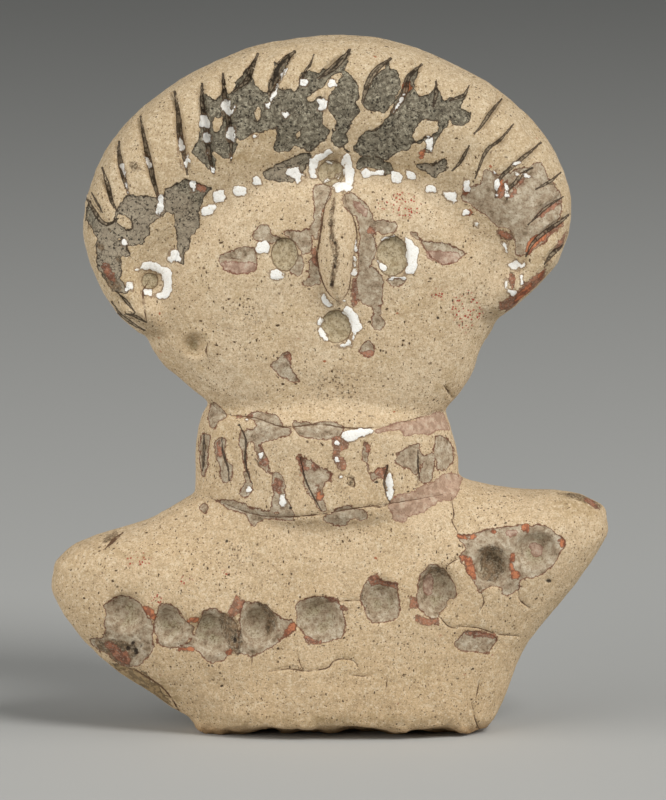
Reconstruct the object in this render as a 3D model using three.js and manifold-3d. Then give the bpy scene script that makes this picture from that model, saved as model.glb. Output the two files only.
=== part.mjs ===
// A hand-modelled terracotta bust of a woman, broken off below the chest.
// One fired piece of clay: a disc-like face set in a raised wreath of slashed hair,
// a thick neck band, and a chest with two stub arms and a row of pressed hollows.
// Millimetres. +Z is up, the figure looks along -Y, and +X is the viewer's right.
// The origin is the middle of the flat worn break that the bust stands on.

import * as THREE from 'three';
import { mergeVertices } from 'three/addons/utils/BufferGeometryUtils.js';
import Module from 'manifold-3d';

// Driving sizes. What is free-form keeps its proportions to the height.
const HEIGHT = 130;
const HAIR_FRONT_DEPTH = 13.2;
const HEAD_BACK_DEPTH = 9.6;
const FACE_FRONT_DEPTH = 13.6;
const NECK_BAND_DEPTH = 31.4;
const CHEST_THICKNESS = 31;
const NOSE_RISE = 4.2;
const NOSE_WIDTH = 6.8;
const NOSE_ROOT = 0.7;
const HAIR_SLASH_WIDTH = 2;
const HAIR_SLASH_DEPTH = 1.5;
const BAND_SLASH_WIDTH = 1.8;
const BAND_SLASH_DEPTH = 0.9;
const BAND_SLASH_COUNT = 13;
const EYE_TAIL_WIDTH = 3.4;
const EYE_TAIL_DEPTH = 0.55;
const STAMP_DEPTH = 0.8;
const CHEST_HOLLOW_DEPTH = 1.4;
const BREAK_RISE = 1.8;

// Every place and outline below is given at this height, in millimetres.
const REFERENCE_HEIGHT = 130;
const scaled = (length) => (length * HEIGHT) / REFERENCE_HEIGHT;

// The middle of the head and of the chest in the front plane, as [x, z].
const HEAD_CENTRE = [-1, 88];
const CHEST_CENTRE = [1, 24];

// The rim of the wreath, clockwise from its top; it closes behind the jaw.
const WREATH_OUTLINE = [
  [2.8, 130], [16, 127.7], [30.8, 120.2], [38.8, 112.7], [43.4, 105], [44.8, 96.6], [43.1, 89.6],
  [39.3, 84.4], [35.2, 80.6], [31, 77.4], [14, 72], [-14, 71], [-33.2, 73.6], [-38.4, 77.2],
  [-42.4, 83], [-45.1, 90.2], [-45.8, 96.2], [-44.3, 102], [-40.2, 110.9], [-30.2, 120.2],
  [-14.8, 127.7],
];

// The hairline and the jaw, clockwise from the middle of the brow.
// The chin runs into the neck band.
const FACE_OUTLINE = [
  [1.9, 106.3], [13, 105.3], [22.3, 101.6], [28.4, 96.2], [32.8, 90.6], [33.6, 84], [30.7, 76.6],
  [28.2, 71.6], [26.4, 66.6], [21.6, 60.4], [12, 54], [-12, 54], [-21.4, 60.6], [-27.6, 65.6],
  [-31.9, 69.6], [-34.5, 75], [-35.6, 82.6], [-33.6, 89.4], [-28.8, 94], [-22.8, 99.2],
  [-16.7, 102.9], [-7.4, 105.8],
];

// The chest, clockwise from the tip of the viewer's left arm; it runs on below the break.
const CHEST_OUTLINE = [
  [-52.1, 26.4], [-51.4, 31.8], [-45.9, 36], [-33.6, 39.7], [-27, 43.4], [-18, 48.4], [0, 50],
  [18, 49.4], [27, 46.9], [34.7, 45.3], [43.4, 45], [50.6, 43.2], [52.4, 38.8], [49.2, 32.1],
  [43.4, 24.6], [37.4, 17.1], [34.6, 11.5], [32.5, 5.9], [30, 0.3], [24, -9], [0, -14],
  [-22, -9], [-24.8, 0], [-31.9, 5.9], [-38, 9.7], [-44.6, 15.4], [-49.3, 20.8],
];

// The wreath from the hairline to the rim: [share of the way, share of the depth].
const WREATH_ROLL_SHARES = [
  [-0.5, 0.68], [0, 0.76], [0.16, 0.88], [0.36, 0.98], [0.56, 1], [0.74, 0.93], [0.88, 0.76],
  [0.965, 0.48], [1, 0.1],
];

// The back of the head: [share of the outline, share of the depth].
const HEAD_BACK_SHARES = [[0.985, 0.28], [0.93, 0.6], [0.82, 0.84], [0.6, 0.96], [0.3, 1]];

// The neck band from below: [z, viewer's left half-width, right half-width, share of the depth].
const NECK_BAND = [
  [36, 19, 18.5, 0.78], [42, 22.6, 22, 0.9], [43, 24, 23, 0.97], [45.4, 25, 24, 1],
  [52, 25.1, 24, 1], [57.6, 24.4, 22.4, 0.99], [60.4, 23.4, 21.2, 0.96], [61.6, 22, 20, 0.88],
  [67, 17, 17, 0.6],
];
const NECK_BAND_SAG = 1.5;

// The slashes of the band: how far up they reach, how far out they stand, and how they vary.
const BAND_SLASH_TOP = 57.4;
const BAND_SLASH_BOTTOM = 46.6;
const BAND_SLASH_SPREAD = 23;
const BAND_SLASH_SWEEP_ANGLE = 0.88 * Math.PI;
const BAND_SLASH_LEAN = 0.9;
const BAND_SLASH_LEAN_CHANGE = 0.7;
const BAND_SLASH_SHIFT = 1.3;
const LEAN_RHYTHM_ANGLE = 2.3;
const SHIFT_RHYTHM_ANGLE = 2.9;

// The nose ridge from its tip up: [z, x, half-width share, rise share].
const NOSE_RIDGE = [
  [81.4, 1.4, 0.1, 0.25], [82.8, 1.3, 0.45, 0.7], [85.4, 1.1, 0.78, 0.94], [89, 1, 0.97, 1],
  [93, 1.2, 1, 0.96], [97.4, 1.5, 0.76, 0.78], [101, 1.6, 0.5, 0.5], [103.4, 1.5, 0.15, 0.2],
];

// Slashes in the hair, from the viewer's left over the top:
// [outer x, outer z, inner x, inner z, depth share].
const HAIR_SLASHES = [
  [-39.4, 83.2, -36.2, 80.2, 0.7], [-40.6, 80.6, -35.2, 77, 0.6], [-44.4, 100, -40.8, 96.2, 0.8],
  [-42.6, 106, -39.6, 98.8, 0.9], [-39.6, 111, -37.2, 101.6, 0.9], [-35.4, 115.6, -31.4, 100, 1],
  [-29.2, 120.4, -25.6, 104.4, 1], [-24, 122.4, -21.6, 106.2, 1], [-20, 124, -18.2, 108.6, 1],
  [-13.4, 127.2, -17.6, 119.4, 1.2], [-6.8, 128, -11.4, 119.8, 1.5], [-3, 127.4, -5.6, 121.4, 0.6],
  [3.4, 128, -3.2, 122.6, 1.3], [11.2, 126.8, 6, 118.4, 0.9], [16.8, 125.6, 11.6, 116.4, 1.1],
  [25.6, 121, 21.6, 118.4, 0.7], [31.8, 119.2, 26.6, 112.4, 1.1], [33.8, 114.6, 26.8, 104.6, 1],
  [25.8, 110, 23, 105.6, 0.7], [38.4, 111, 30.8, 101.2, 1.2], [37.4, 106.6, 33, 101, 0.9],
  [42.4, 105.2, 38.4, 103, 0.7], [43, 101.2, 36.8, 96.4, 0.9], [44.2, 97.8, 36.8, 91.4, 1],
  [42.8, 92, 38.8, 88.8, 0.8],
];

// Round marks pressed with the end of a stick: [x, z, radius].
const STAMPS = [
  [-8.7, 91.1, 2.7], [11.6, 91.1, 2.9], [1.3, 77.5, 3.1], [0.6, 106, 2.7], [-33, 85.6, 2.2],
  [34, 87.8, 2], [-24.9, 73.5, 2.3],
];

// Leaf-shaped tails at the outer corners of the eyes: [outer x, outer z, inner x, inner z].
const EYE_TAILS = [[-20.6, 89.6, -11.4, 90], [25.8, 90.8, 14.6, 91.4]];

// Finger-pressed hollows strung across the chest: [x, z, half-width, half-height, depth share].
const CHEST_HOLLOWS = [
  [-37.9, 24.2, 4.2, 4.3, 1], [-29.7, 21.8, 3.5, 3.8, 0.8], [-21.9, 19.9, 4.1, 4.4, 0.9],
  [-13.4, 21.8, 3.9, 3.9, 1.4], [-2.4, 22.9, 4.3, 4.3, 0.9], [9.5, 26.5, 3.8, 4.6, 0.9],
  [19.9, 28.3, 3.7, 5, 1.4], [30.1, 32.6, 3.5, 4.1, 1.5], [38, 35.2, 4.7, 4.1, 1],
];

// Chips broken out of the edges: [x, y, z, radius]. All their faces lean by the same turns.
const CHIPS = [
  [31.4, -1, 70, 5], [28.6, -9, 64, 2.3], [-39.8, -7, 39.2, 2.6], [-31.5, -9, 3.4, 3.2],
  [44.5, -10, 43.6, 2.4],
];
const CHIP_PITCH_ANGLE = 0.5;
const CHIP_YAW_ANGLE = 0.7;

// The worn stretch of the break: its right end, and how far back from the front edge it reaches.
const BREAK_END_X = 22;
const BREAK_BACK_Y = -7.5;
const BREAK_REACH = 7;

// The hair stays outside this share of the rim, and thins where the rim comes near the jaw.
const HAIRLINE_SHARE = 0.78;
const HIDDEN_RATIO = 0.95;
const SHOWN_RATIO = 1.12;
const HIDDEN_DEPTH_SHARE = 0.5;

// Shapes of the rounded slabs, of the nose's sides, of a groove's ends and of a stamp's sides.
const FACE_BACK_SHARE = 0.85;
const FACE_SQUARENESS = 3;
const CHEST_SQUARENESS = 2.4;
const NOSE_PINCH = 1.3;
const GROOVE_END_SHARE = 0.06;
const GROOVE_FULLNESS = 0.7;
const STAMP_TOP_SHARE = 1.15;
const STAMP_FLOOR_SHARE = 0.85;

// How fine each form is drawn.
const OUTLINE_STEPS = 52;
const FACE_STEPS = 5;
const CHEST_STEPS = 6;
const CUSHION_END_GAP_STEPS = 0.4;
const ROUND_STEPS = 16;
const HOLLOW_STEPS = 8;
const FINE_STEPS = 720;
const NECK_STEPS = 40;
const NOSE_STEPS = 12;
const GROOVE_STEPS = 5;

// A cutter's widest place stands this far out of the clay.
// A groove's stands further out, so that no clay bridges it where the surface swells.
const CUTTER_LIFT = 0.3;
const GROOVE_LIFT = 0.9;

const wasm = await Module();
wasm.setup();

// Closed body through rings of points, from one end to the other.
// Each end has a point in its middle.
function loft(rings) {
  const count = rings[0].length;
  const middles = [rings[0], rings.at(-1)].map((ring) =>
    ring.reduce((sum, point) => sum.add(point), new THREE.Vector3()).divideScalar(count));
  const points = [...rings.flat(), ...middles];
  const [first, last] = [points.length - 2, points.length - 1];
  const end = (rings.length - 1) * count;
  const faces = [];
  for (let i = 0; i < count; i += 1) {
    const next = (i + 1) % count;
    faces.push(first, next, i, last, end + i, end + next);
    for (let ring = 0; ring < end; ring += count) {
      const above = ring + count;
      faces.push(ring + i, ring + next, above + next, ring + i, above + next, above + i);
    }
  }
  const geometry = new THREE.BufferGeometry().setFromPoints(points);
  geometry.setIndex(faces);
  return geometry;
}

// A geometry as a solid for joining and cutting.
function toSolid(geometry) {
  const bare = geometry.clone();
  bare.deleteAttribute('normal');
  bare.deleteAttribute('uv');
  const merged = mergeVertices(bare, 1e-4);
  return new wasm.Manifold(new wasm.Mesh({
    numProp: 3,
    vertProperties: new Float32Array(merged.attributes.position.array),
    triVerts: new Uint32Array(merged.index.array),
  }));
}

// A solid as a geometry again.
function toGeometry(solid) {
  const mesh = solid.getMesh();
  const geometry = new THREE.BufferGeometry();
  geometry.setAttribute('position', new THREE.BufferAttribute(mesh.vertProperties, 3));
  geometry.setIndex(new THREE.BufferAttribute(mesh.triVerts, 1));
  return geometry;
}

// Smooth closed outline as evenly spaced steps, each seen from a centre.
function smoothOutline(outline, [centreX, centreZ], steps) {
  const offsets = outline.map(([x, z]) => new THREE.Vector3(x - centreX, z - centreZ, 0));
  const curve = new THREE.CatmullRomCurve3(offsets, true, 'centripetal');
  return curve.getSpacedPoints(steps).slice(0, steps);
}

// Distance from a centre to an outline in every direction, clockwise from the right.
function radii(outline, centre) {
  const fine = smoothOutline(outline, centre, FINE_STEPS);
  return Array.from({ length: OUTLINE_STEPS }, (_, step) => {
    const angle = (-2 * Math.PI * step) / OUTLINE_STEPS;
    const ray = new THREE.Vector3(Math.cos(angle), Math.sin(angle), 0);
    const nearest = fine.reduce((best, point) =>
      (point.angleTo(ray) < best.angleTo(ray) ? point : best));
    return nearest.length();
  });
}

// One ring of the wreath around the middle of the head.
function wreathRing(radiusAt, depthAt) {
  const [centreX, centreZ] = HEAD_CENTRE;
  return Array.from({ length: OUTLINE_STEPS }, (_, step) => {
    const angle = (-2 * Math.PI * step) / OUTLINE_STEPS;
    const x = centreX + radiusAt(step) * Math.cos(angle);
    const z = centreZ + radiusAt(step) * Math.sin(angle);
    return new THREE.Vector3(scaled(x), depthAt(step), scaled(z));
  });
}

// Slab with rounded edges: its outline shrinks along a superellipse towards the front and the back.
function cushion(outline, centre, front, back, squareness, steps) {
  const edge = smoothOutline(outline, centre, OUTLINE_STEPS);
  const rings = [];
  for (let step = -steps; step <= steps; step += 1) {
    const angle = (step / (steps + CUSHION_END_GAP_STEPS)) * (Math.PI / 2);
    const share = Math.cos(angle) ** (2 / squareness);
    const rise = Math.abs(Math.sin(angle)) ** (2 / squareness);
    const y = step < 0 ? -front * rise : back * rise;
    rings.push(edge.map((offset) =>
      new THREE.Vector3(scaled(centre[0] + offset.x * share), y, scaled(centre[1] + offset.y * share))));
  }
  return loft(rings);
}

// The wreath swells between the hairline and the rim and thins out where it passes behind the jaw.
// The back of the head is one low dome.
function hairForm() {
  const rim = radii(WREATH_OUTLINE, HEAD_CENTRE);
  const face = radii(FACE_OUTLINE, HEAD_CENTRE);
  const hairline = face.map((radius, i) => Math.min(radius, HAIRLINE_SHARE * rim[i]));
  const showing = face.map((radius, i) =>
    THREE.MathUtils.smoothstep(rim[i] / radius, HIDDEN_RATIO, SHOWN_RATIO));
  const front = WREATH_ROLL_SHARES.map(([way, depth]) => wreathRing(
    (i) => hairline[i] + (rim[i] - hairline[i]) * way,
    (i) => -HAIR_FRONT_DEPTH * depth * THREE.MathUtils.lerp(HIDDEN_DEPTH_SHARE, 1, showing[i])));
  const back = HEAD_BACK_SHARES.map(([share, depth]) =>
    wreathRing((i) => rim[i] * share, () => HEAD_BACK_DEPTH * depth));
  return loft([...front, ...back]);
}

function faceForm() {
  const back = HEAD_BACK_DEPTH * FACE_BACK_SHARE;
  return cushion(FACE_OUTLINE, HEAD_CENTRE, FACE_FRONT_DEPTH, back, FACE_SQUARENESS, FACE_STEPS);
}

function chestForm() {
  const half = CHEST_THICKNESS / 2;
  return cushion(CHEST_OUTLINE, CHEST_CENTRE, half, half, CHEST_SQUARENESS, CHEST_STEPS);
}

// The band dips at the front and rises at the nape.
function neckForm() {
  const half = NECK_BAND_DEPTH / 2;
  return loft(NECK_BAND.map(([z, left, right, depth]) =>
    Array.from({ length: NECK_STEPS }, (_, step) => {
      const angle = (2 * Math.PI * step) / NECK_STEPS;
      const across = Math.cos(angle) < 0 ? left : right;
      const height = scaled(z + NECK_BAND_SAG * Math.sin(angle));
      const reach = half * depth * Math.sin(angle);
      return new THREE.Vector3(scaled(across) * Math.cos(angle), reach, height);
    })));
}

// Finds the point and the outward direction of the front surface at x and z.
function surfaceFinder(geometry) {
  const mesh = new THREE.Mesh(geometry, new THREE.MeshBasicMaterial({ side: THREE.DoubleSide }));
  const ray = new THREE.Raycaster();
  return (x, z) => {
    ray.set(new THREE.Vector3(x, -HEIGHT, z), new THREE.Vector3(0, 1, 0));
    const hit = ray.intersectObject(mesh)[0];
    return { point: hit.point, normal: hit.face.normal };
  };
}

// The nose is a pinched ridge that keeps its own width and rise.
function noseForm(surface) {
  return loft(NOSE_RIDGE.map(([z, x, width, rise]) => {
    const base = surface(scaled(x), scaled(z)).point.y + NOSE_ROOT;
    return Array.from({ length: NOSE_STEPS }, (_, step) => {
      const angle = (2 * Math.PI * step) / NOSE_STEPS;
      const out = Math.sin(angle) < 0 ? NOSE_RISE * rise + NOSE_ROOT : 2 * NOSE_ROOT;
      const side = Math.sign(Math.cos(angle)) * Math.abs(Math.cos(angle)) ** NOSE_PINCH;
      const across = scaled(x) + (NOSE_WIDTH / 2) * width * side;
      return new THREE.Vector3(across, base + out * Math.sin(angle), scaled(z));
    });
  }));
}

// V-shaped groove that follows the surface between two places, widest and deepest in its middle.
function grooveCutter(surface, [fromX, fromZ, toX, toZ], width, depth) {
  const along = new THREE.Vector3(toX - fromX, 0, toZ - fromZ).normalize();
  return loft(Array.from({ length: GROOVE_STEPS }, (_, step) => {
    const way = step / (GROOVE_STEPS - 1);
    const share = THREE.MathUtils.lerp(GROOVE_END_SHARE, 1 - GROOVE_END_SHARE, way);
    const swell = Math.sin(Math.PI * share) ** GROOVE_FULLNESS;
    const x = scaled(fromX + (toX - fromX) * way);
    const z = scaled(fromZ + (toZ - fromZ) * way);
    const { point, normal } = surface(x, z);
    const across = new THREE.Vector3().crossVectors(normal, along).normalize();
    const half = (width / 2) * swell * (1 + GROOVE_LIFT / (depth * swell));
    const top = point.clone().addScaledVector(normal, GROOVE_LIFT);
    return [
      top.clone().addScaledVector(across, half),
      top.clone().addScaledVector(across, -half),
      point.clone().addScaledVector(normal, -depth * swell),
    ];
  }));
}

// Turns a cutter whose +Y points out of the clay onto the surface, upright in the front view.
function seat(geometry, { point, normal }) {
  const upright = new THREE.Vector3(0, 0, 1).addScaledVector(normal, -normal.z).normalize();
  const across = new THREE.Vector3().crossVectors(normal, upright);
  const middle = point.clone().addScaledVector(normal, CUTTER_LIFT);
  geometry.applyMatrix4(new THREE.Matrix4().makeBasis(across, normal, upright).setPosition(middle));
  return geometry;
}

// Round hollow with a soft floor.
function hollowCutter(surface, [x, z, halfWidth, halfHeight], depth) {
  const geometry = new THREE.SphereGeometry(1, ROUND_STEPS, HOLLOW_STEPS);
  geometry.scale(scaled(halfWidth), depth + CUTTER_LIFT, scaled(halfHeight));
  return seat(geometry, surface(scaled(x), scaled(z)));
}

// Round hollow with a flat floor and slightly slanting sides.
function stampCutter(surface, [x, z, radius]) {
  const height = 2 * (STAMP_DEPTH + CUTTER_LIFT);
  const top = scaled(radius) * STAMP_TOP_SHARE;
  const floor = scaled(radius) * STAMP_FLOOR_SHARE;
  const geometry = new THREE.CylinderGeometry(top, floor, height, ROUND_STEPS);
  return seat(geometry, surface(scaled(x), scaled(z)));
}

// Upright slashes around the front of the neck band, leaning to and fro.
function bandSlashCutters(surface) {
  return Array.from({ length: BAND_SLASH_COUNT }, (_, index) => {
    const turn = (index / (BAND_SLASH_COUNT - 1) - 0.5) * BAND_SLASH_SWEEP_ANGLE;
    const x = BAND_SLASH_SPREAD * Math.sin(turn);
    const lean = BAND_SLASH_LEAN + BAND_SLASH_LEAN_CHANGE * Math.sin(index * LEAN_RHYTHM_ANGLE);
    const shift = BAND_SLASH_SHIFT * Math.cos(index * SHIFT_RHYTHM_ANGLE);
    const rise = shift - NECK_BAND_SAG * Math.cos(turn);
    const ends = [x - lean, BAND_SLASH_TOP + rise, x + lean, BAND_SLASH_BOTTOM + rise];
    return grooveCutter(surface, ends, BAND_SLASH_WIDTH, BAND_SLASH_DEPTH);
  });
}

function chipCutter([x, y, z, radius]) {
  const geometry = new THREE.DodecahedronGeometry(scaled(radius));
  geometry.rotateX(CHIP_PITCH_ANGLE);
  geometry.rotateY(CHIP_YAW_ANGLE);
  geometry.translate(scaled(x), scaled(y), scaled(z));
  return geometry;
}

// The break below is flat to stand on, and worn upwards along most of the front edge.
function breakCutters() {
  const size = HEIGHT;
  const floor = new THREE.BoxGeometry(2 * size, size, size);
  floor.translate(0, 0, -size / 2);
  const worn = new THREE.BoxGeometry(size, size, size);
  worn.translate(-size / 2, -size / 2, -size / 2);
  worn.rotateX(-Math.atan2(BREAK_RISE, scaled(BREAK_REACH)));
  worn.translate(scaled(BREAK_END_X), scaled(BREAK_BACK_Y), 0);
  return [floor, worn];
}

function bustGeometry() {
  const forms = [hairForm(), faceForm(), neckForm(), chestForm()].map(toSolid);
  const body = forms.reduce((sum, form) => sum.add(form));
  const surface = surfaceFinder(toGeometry(body));
  const cutters = [
    ...HAIR_SLASHES.map((slash) =>
      grooveCutter(surface, slash, HAIR_SLASH_WIDTH, HAIR_SLASH_DEPTH * slash[4])),
    ...bandSlashCutters(surface),
    ...EYE_TAILS.map((tail) => grooveCutter(surface, tail, EYE_TAIL_WIDTH, EYE_TAIL_DEPTH)),
    ...STAMPS.map((stamp) => stampCutter(surface, stamp)),
    ...CHEST_HOLLOWS.map((hollow) =>
      hollowCutter(surface, hollow, CHEST_HOLLOW_DEPTH * hollow[4])),
    ...CHIPS.map(chipCutter),
    ...breakCutters(),
  ].map(toSolid);
  const modelled = body.add(toSolid(noseForm(surface)));
  const carved = cutters.reduce((left, cutter) => left.subtract(cutter), modelled);
  // Crumbs that crossing slashes cut free fall away.
  const [whole] = carved.decompose().sort((a, b) => b.volume() - a.volume());
  return toGeometry(whole);
}

const clay = new THREE.MeshStandardMaterial({ color: 0xcfb48c, roughness: 0.9, metalness: 0 });
const bust = new THREE.Mesh(bustGeometry(), clay);
bust.name = 'bust';

const group = new THREE.Group();
group.add(bust);

export default group;
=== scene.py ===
import math

import bmesh
import bpy
import numpy as np
from mathutils import Matrix, Vector


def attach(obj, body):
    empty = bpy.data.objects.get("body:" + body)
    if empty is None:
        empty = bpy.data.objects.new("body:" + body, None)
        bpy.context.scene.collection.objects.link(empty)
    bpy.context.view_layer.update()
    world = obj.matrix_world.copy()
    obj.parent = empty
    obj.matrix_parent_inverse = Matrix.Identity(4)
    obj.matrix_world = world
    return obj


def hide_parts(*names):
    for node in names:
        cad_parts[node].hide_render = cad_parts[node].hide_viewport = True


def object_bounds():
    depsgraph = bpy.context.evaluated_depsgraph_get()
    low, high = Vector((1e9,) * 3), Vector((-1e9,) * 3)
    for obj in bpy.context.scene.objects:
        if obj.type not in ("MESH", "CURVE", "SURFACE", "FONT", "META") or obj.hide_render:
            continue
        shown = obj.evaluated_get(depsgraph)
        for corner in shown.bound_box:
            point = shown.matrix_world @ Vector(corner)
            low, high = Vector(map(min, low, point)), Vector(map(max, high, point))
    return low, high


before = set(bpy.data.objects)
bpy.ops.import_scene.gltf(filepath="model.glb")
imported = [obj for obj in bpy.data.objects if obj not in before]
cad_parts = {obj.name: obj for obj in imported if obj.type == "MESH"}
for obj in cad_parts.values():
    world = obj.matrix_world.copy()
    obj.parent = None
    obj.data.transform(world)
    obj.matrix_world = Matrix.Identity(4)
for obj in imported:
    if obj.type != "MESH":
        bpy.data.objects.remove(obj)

cad_low, cad_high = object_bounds()

# The photograph: its size in pixels, and what one of its pixels measures on the bust.
PHOTO_WIDTH = 666
PHOTO_HEIGHT = 800
PIXEL_MM = 0.1856
MM = 0.001

# The camera looks slightly down at the bust. LOOK_AT is the point in the picture's middle.
CAMERA_RISE = math.radians(7)
CAMERA_DISTANCE_MM = 1300
LOOK_AT_MM = np.array([0.56, 0, 62.0])
SENSOR = 36

# The skin of the clay, in millimetres.
SKIN_VOXEL = 0.32
SKIN_TRIANGLES = 194000
EASE_ROUNDS = 36
EASE_FULL = 0.6
EASE_CRISP = 0.1

# How near a slash, a ring or the nose the easing grows weak, in pixels inside or outside.
CRISP_BESIDE_SLASH = (3, 9)
CRISP_BESIDE_RING = (-5, -1)
CRISP_BESIDE_NOSE = (-8, -2)

# How far the skin stays inside the box of the solid, in millimetres.
BOX_MARGIN = 0.01

# How closely the thinned mesh keeps the front, and how much closer the hair.
FRONT_CARE = 0.45
HAIR_CARE = 0.55
CARE_LEVELS = 10
CARE_FACTOR = 0.02

# Depths of the finer relief, in millimetres.
SLASH_DEPTH = 0.75
SLASH_SKIRT = 0.35
SLASH_LIP = 0.1
SLASH_LIP_PLACE = 1.5
SLASH_LIP_SPREAD = 0.35
PAINT_LOSS_DEPTH = 0.28
SLIP_LOSS_DEPTH = 0.14
STAMP_DEPTH = 0.4
HOLLOW_DEPTH = 1.0
HOLLOW_RIM = 0.12
HOLLOW_RIM_PLACE = -0.5
HOLLOW_RIM_SPREAD = 0.5
CRACK_DEPTH = 0.3
CRACK_SKIRT = 0.25
DAUB_HEIGHT = 0.12
PIT_DEPTH = 0.3
SPECKLE_DEPTH = 0.2
BASE_WEAR = 0.8
BASE_WEAR_LOW = 0.5
BASE_WEAR_HIGH = 5
HAND_UNEVENNESS = 0.16
THUMB_UNEVENNESS = 0.06
GRAIN = 0.035
LOSS_GRAIN = 0.05
WASH_GRAIN = 0.03
SCAR_GRAIN = 0.06

# The noise in the clay: its longest wavelength in millimetres, and its seed.
HAND_NOISE = (7, 21)
THUMB_NOISE = (2, 25)
GRAIN_NOISE = (0.8, 31)
POCK_NOISE = (1.3, 51)
BREAK_NOISE = (4, 61)
BREAK_NOISE_MIDDLE = 0.6

# Where each mark's step in the clay begins and ends, in millimetres inside its edge.
STEPS = {
    "hair_loss": (-0.08, 0.12),
    "wash": (-0.1, 0.2),
    "white": (-0.05, 0.3),
    "pressed": (-0.15, 0.25),
    "hollow": (-0.3, 2.2),
    "pits": (-0.1, 0.15),
    "dark_specks": (0, 2),
    "scar": (-0.1, 0.2),
}

# All places and sizes in the lists below are pixels of the photograph.
# Slashes in the hair run from the rim inwards. Each has its half width at the widest.
HAIR_SLASHES = [
    ([(103, 170), (108, 186), (112, 202), (116, 209)], 2.0),
    ([(93, 195), (101, 210)], 1.0),
    ([(87, 199), (93, 209), (101, 221), (109, 224), (116, 220)], 2.0),
    ([(119, 144), (119, 153), (122, 170), (128, 193)], 2.4),
    ([(141, 119), (144, 137), (147, 151), (153, 178), (156, 189), (160, 204)], 2.4),
    ([(175, 94), (178, 111), (179, 126), (180, 136), (183, 150), (187, 172)], 2.7),
    ([(202, 86), (202, 104), (205, 120), (207, 137), (209, 153), (213, 171)], 2.7),
    ([(223, 76), (224, 91), (227, 110), (230, 133), (231, 146), (231, 158)], 2.6),
    ([(257, 56), (251, 70), (247, 80), (236, 90)], 2.6),
    ([(293, 53), (279, 66), (274, 80), (270, 92)], 4.6),
    ([(313, 57), (310, 65), (306, 70), (302, 80)], 1.2),
    ([(348, 52), (344, 57), (332, 69), (320, 77)], 3.2),
    ([(389, 60), (375, 71), (367, 86), (363, 100)], 3.0),
    ([(420, 66), (412, 73), (407, 80), (405, 92), (396, 110)], 2.6),
    ([(436, 84), (436, 94), (434, 104)], 2.0),
    ([(468, 88), (464, 95), (452, 100)], 1.6),
    ([(500, 101), (490, 113), (482, 125), (476, 132)], 1.7),
    ([(512, 126), (500, 140), (490, 147), (484, 155), (479, 168), (476, 176)], 1.5),
    ([(468, 148), (461, 161), (454, 169)], 1.5),
    ([(539, 144), (530, 152), (520, 160), (507, 171), (498, 182), (496, 195)], 1.9),
    ([(530, 169), (522, 174), (516, 182), (508, 190), (507, 197)], 1.9),
    ([(559, 174), (549, 182), (538, 188)], 1.3),
    ([(561, 198), (548, 206), (538, 215), (530, 223)], 1.2),
    ([(570, 214), (560, 222), (551, 228), (541, 235), (532, 244), (527, 254)], 1.8),
    ([(561, 247), (552, 254), (546, 262)], 2.0),
    ([(118, 293), (126, 301), (134, 311)], 1.2),
    ([(113, 304), (120, 314), (130, 322), (142, 329)], 1.6),
    ([(126, 314), (135, 316), (144, 321)], 1.3),
]
# Slashes in the neck band.
BAND_SLASHES = [
    ([(241, 428), (246, 441), (245, 457), (247, 470), (251, 481)], 0.8),
    ([(204, 437), (204, 452), (203, 468)], 1.0),
    ([(222, 440), (223, 452), (228, 468), (229, 478)], 0.7),
    ([(418, 453), (418, 466), (419, 476)], 0.8),
    ([(301, 460), (305, 478), (312, 494), (320, 508)], 0.5),
    ([(387, 468), (384, 484), (389, 500)], 0.6),
]
# Cracks, scratches, and dark lines along the nose and the edges of the neck band.
CRACKS = [
    ([(271, 671), (289, 669), (308, 671), (327, 668), (333, 662), (340, 659), (352, 660),
      (358, 666)], 0.8),
    ([(298, 654), (300, 664), (305, 671)], 0.7),
    ([(252, 654), (252, 665)], 0.6),
    ([(452, 500), (454, 516), (452, 521), (458, 533)], 0.8),
    ([(482, 594), (484, 602), (480, 610)], 0.6),
    ([(518, 588), (520, 600), (530, 608)], 0.9),
    ([(439, 616), (448, 626), (456, 628)], 0.7),
    ([(446, 567), (452, 562), (458, 559)], 0.7),
    ([(342, 601), (359, 600)], 0.8),
    ([(458, 626), (478, 628), (498, 634), (518, 636)], 0.7),
    ([(445, 387), (453, 398)], 1.0),
    ([(118, 671), (132, 669), (147, 677), (162, 687), (174, 702), (184, 720), (197, 730)], 0.9),
    ([(330, 192), (325, 206), (322, 223), (319, 243), (317, 256), (319, 269), (323, 283),
      (329, 294), (338, 302)], 1.1),
    ([(343, 191), (348, 206), (354, 220), (357, 236), (354, 256), (351, 273), (349, 289),
      (343, 299), (338, 302)], 0.9),
    ([(334, 196), (333, 214), (331, 230), (336, 248), (333, 270), (332, 288)], 0.5),
    ([(220, 258), (229, 258), (238, 259)], 0.8),
    ([(148, 282), (143, 292), (144, 306), (146, 318)], 1.2),
    ([(212, 404), (226, 414), (256, 418), (284, 427), (320, 424), (346, 428), (381, 427),
      (410, 420), (440, 411)], 0.8),
    ([(208, 497), (228, 505), (250, 513), (276, 517), (314, 515), (350, 509), (386, 504),
      (412, 500), (440, 495)], 0.8),
    ([(371, 505), (380, 507), (389, 504)], 1.1),
    ([(107, 547), (113, 541), (121, 534)], 2.0),
    ([(479, 683), (476, 697)], 0.6),
    ([(472, 705), (476, 722), (482, 735)], 0.7),
    ([(387, 677), (386, 693)], 0.6),
    ([(350, 675), (362, 676), (373, 675)], 0.5),
    ([(348, 477), (354, 480), (354, 487), (348, 484)], 0.8),
    ([(207, 346), (206, 351), (208, 357)], 1.1),
]

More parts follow.
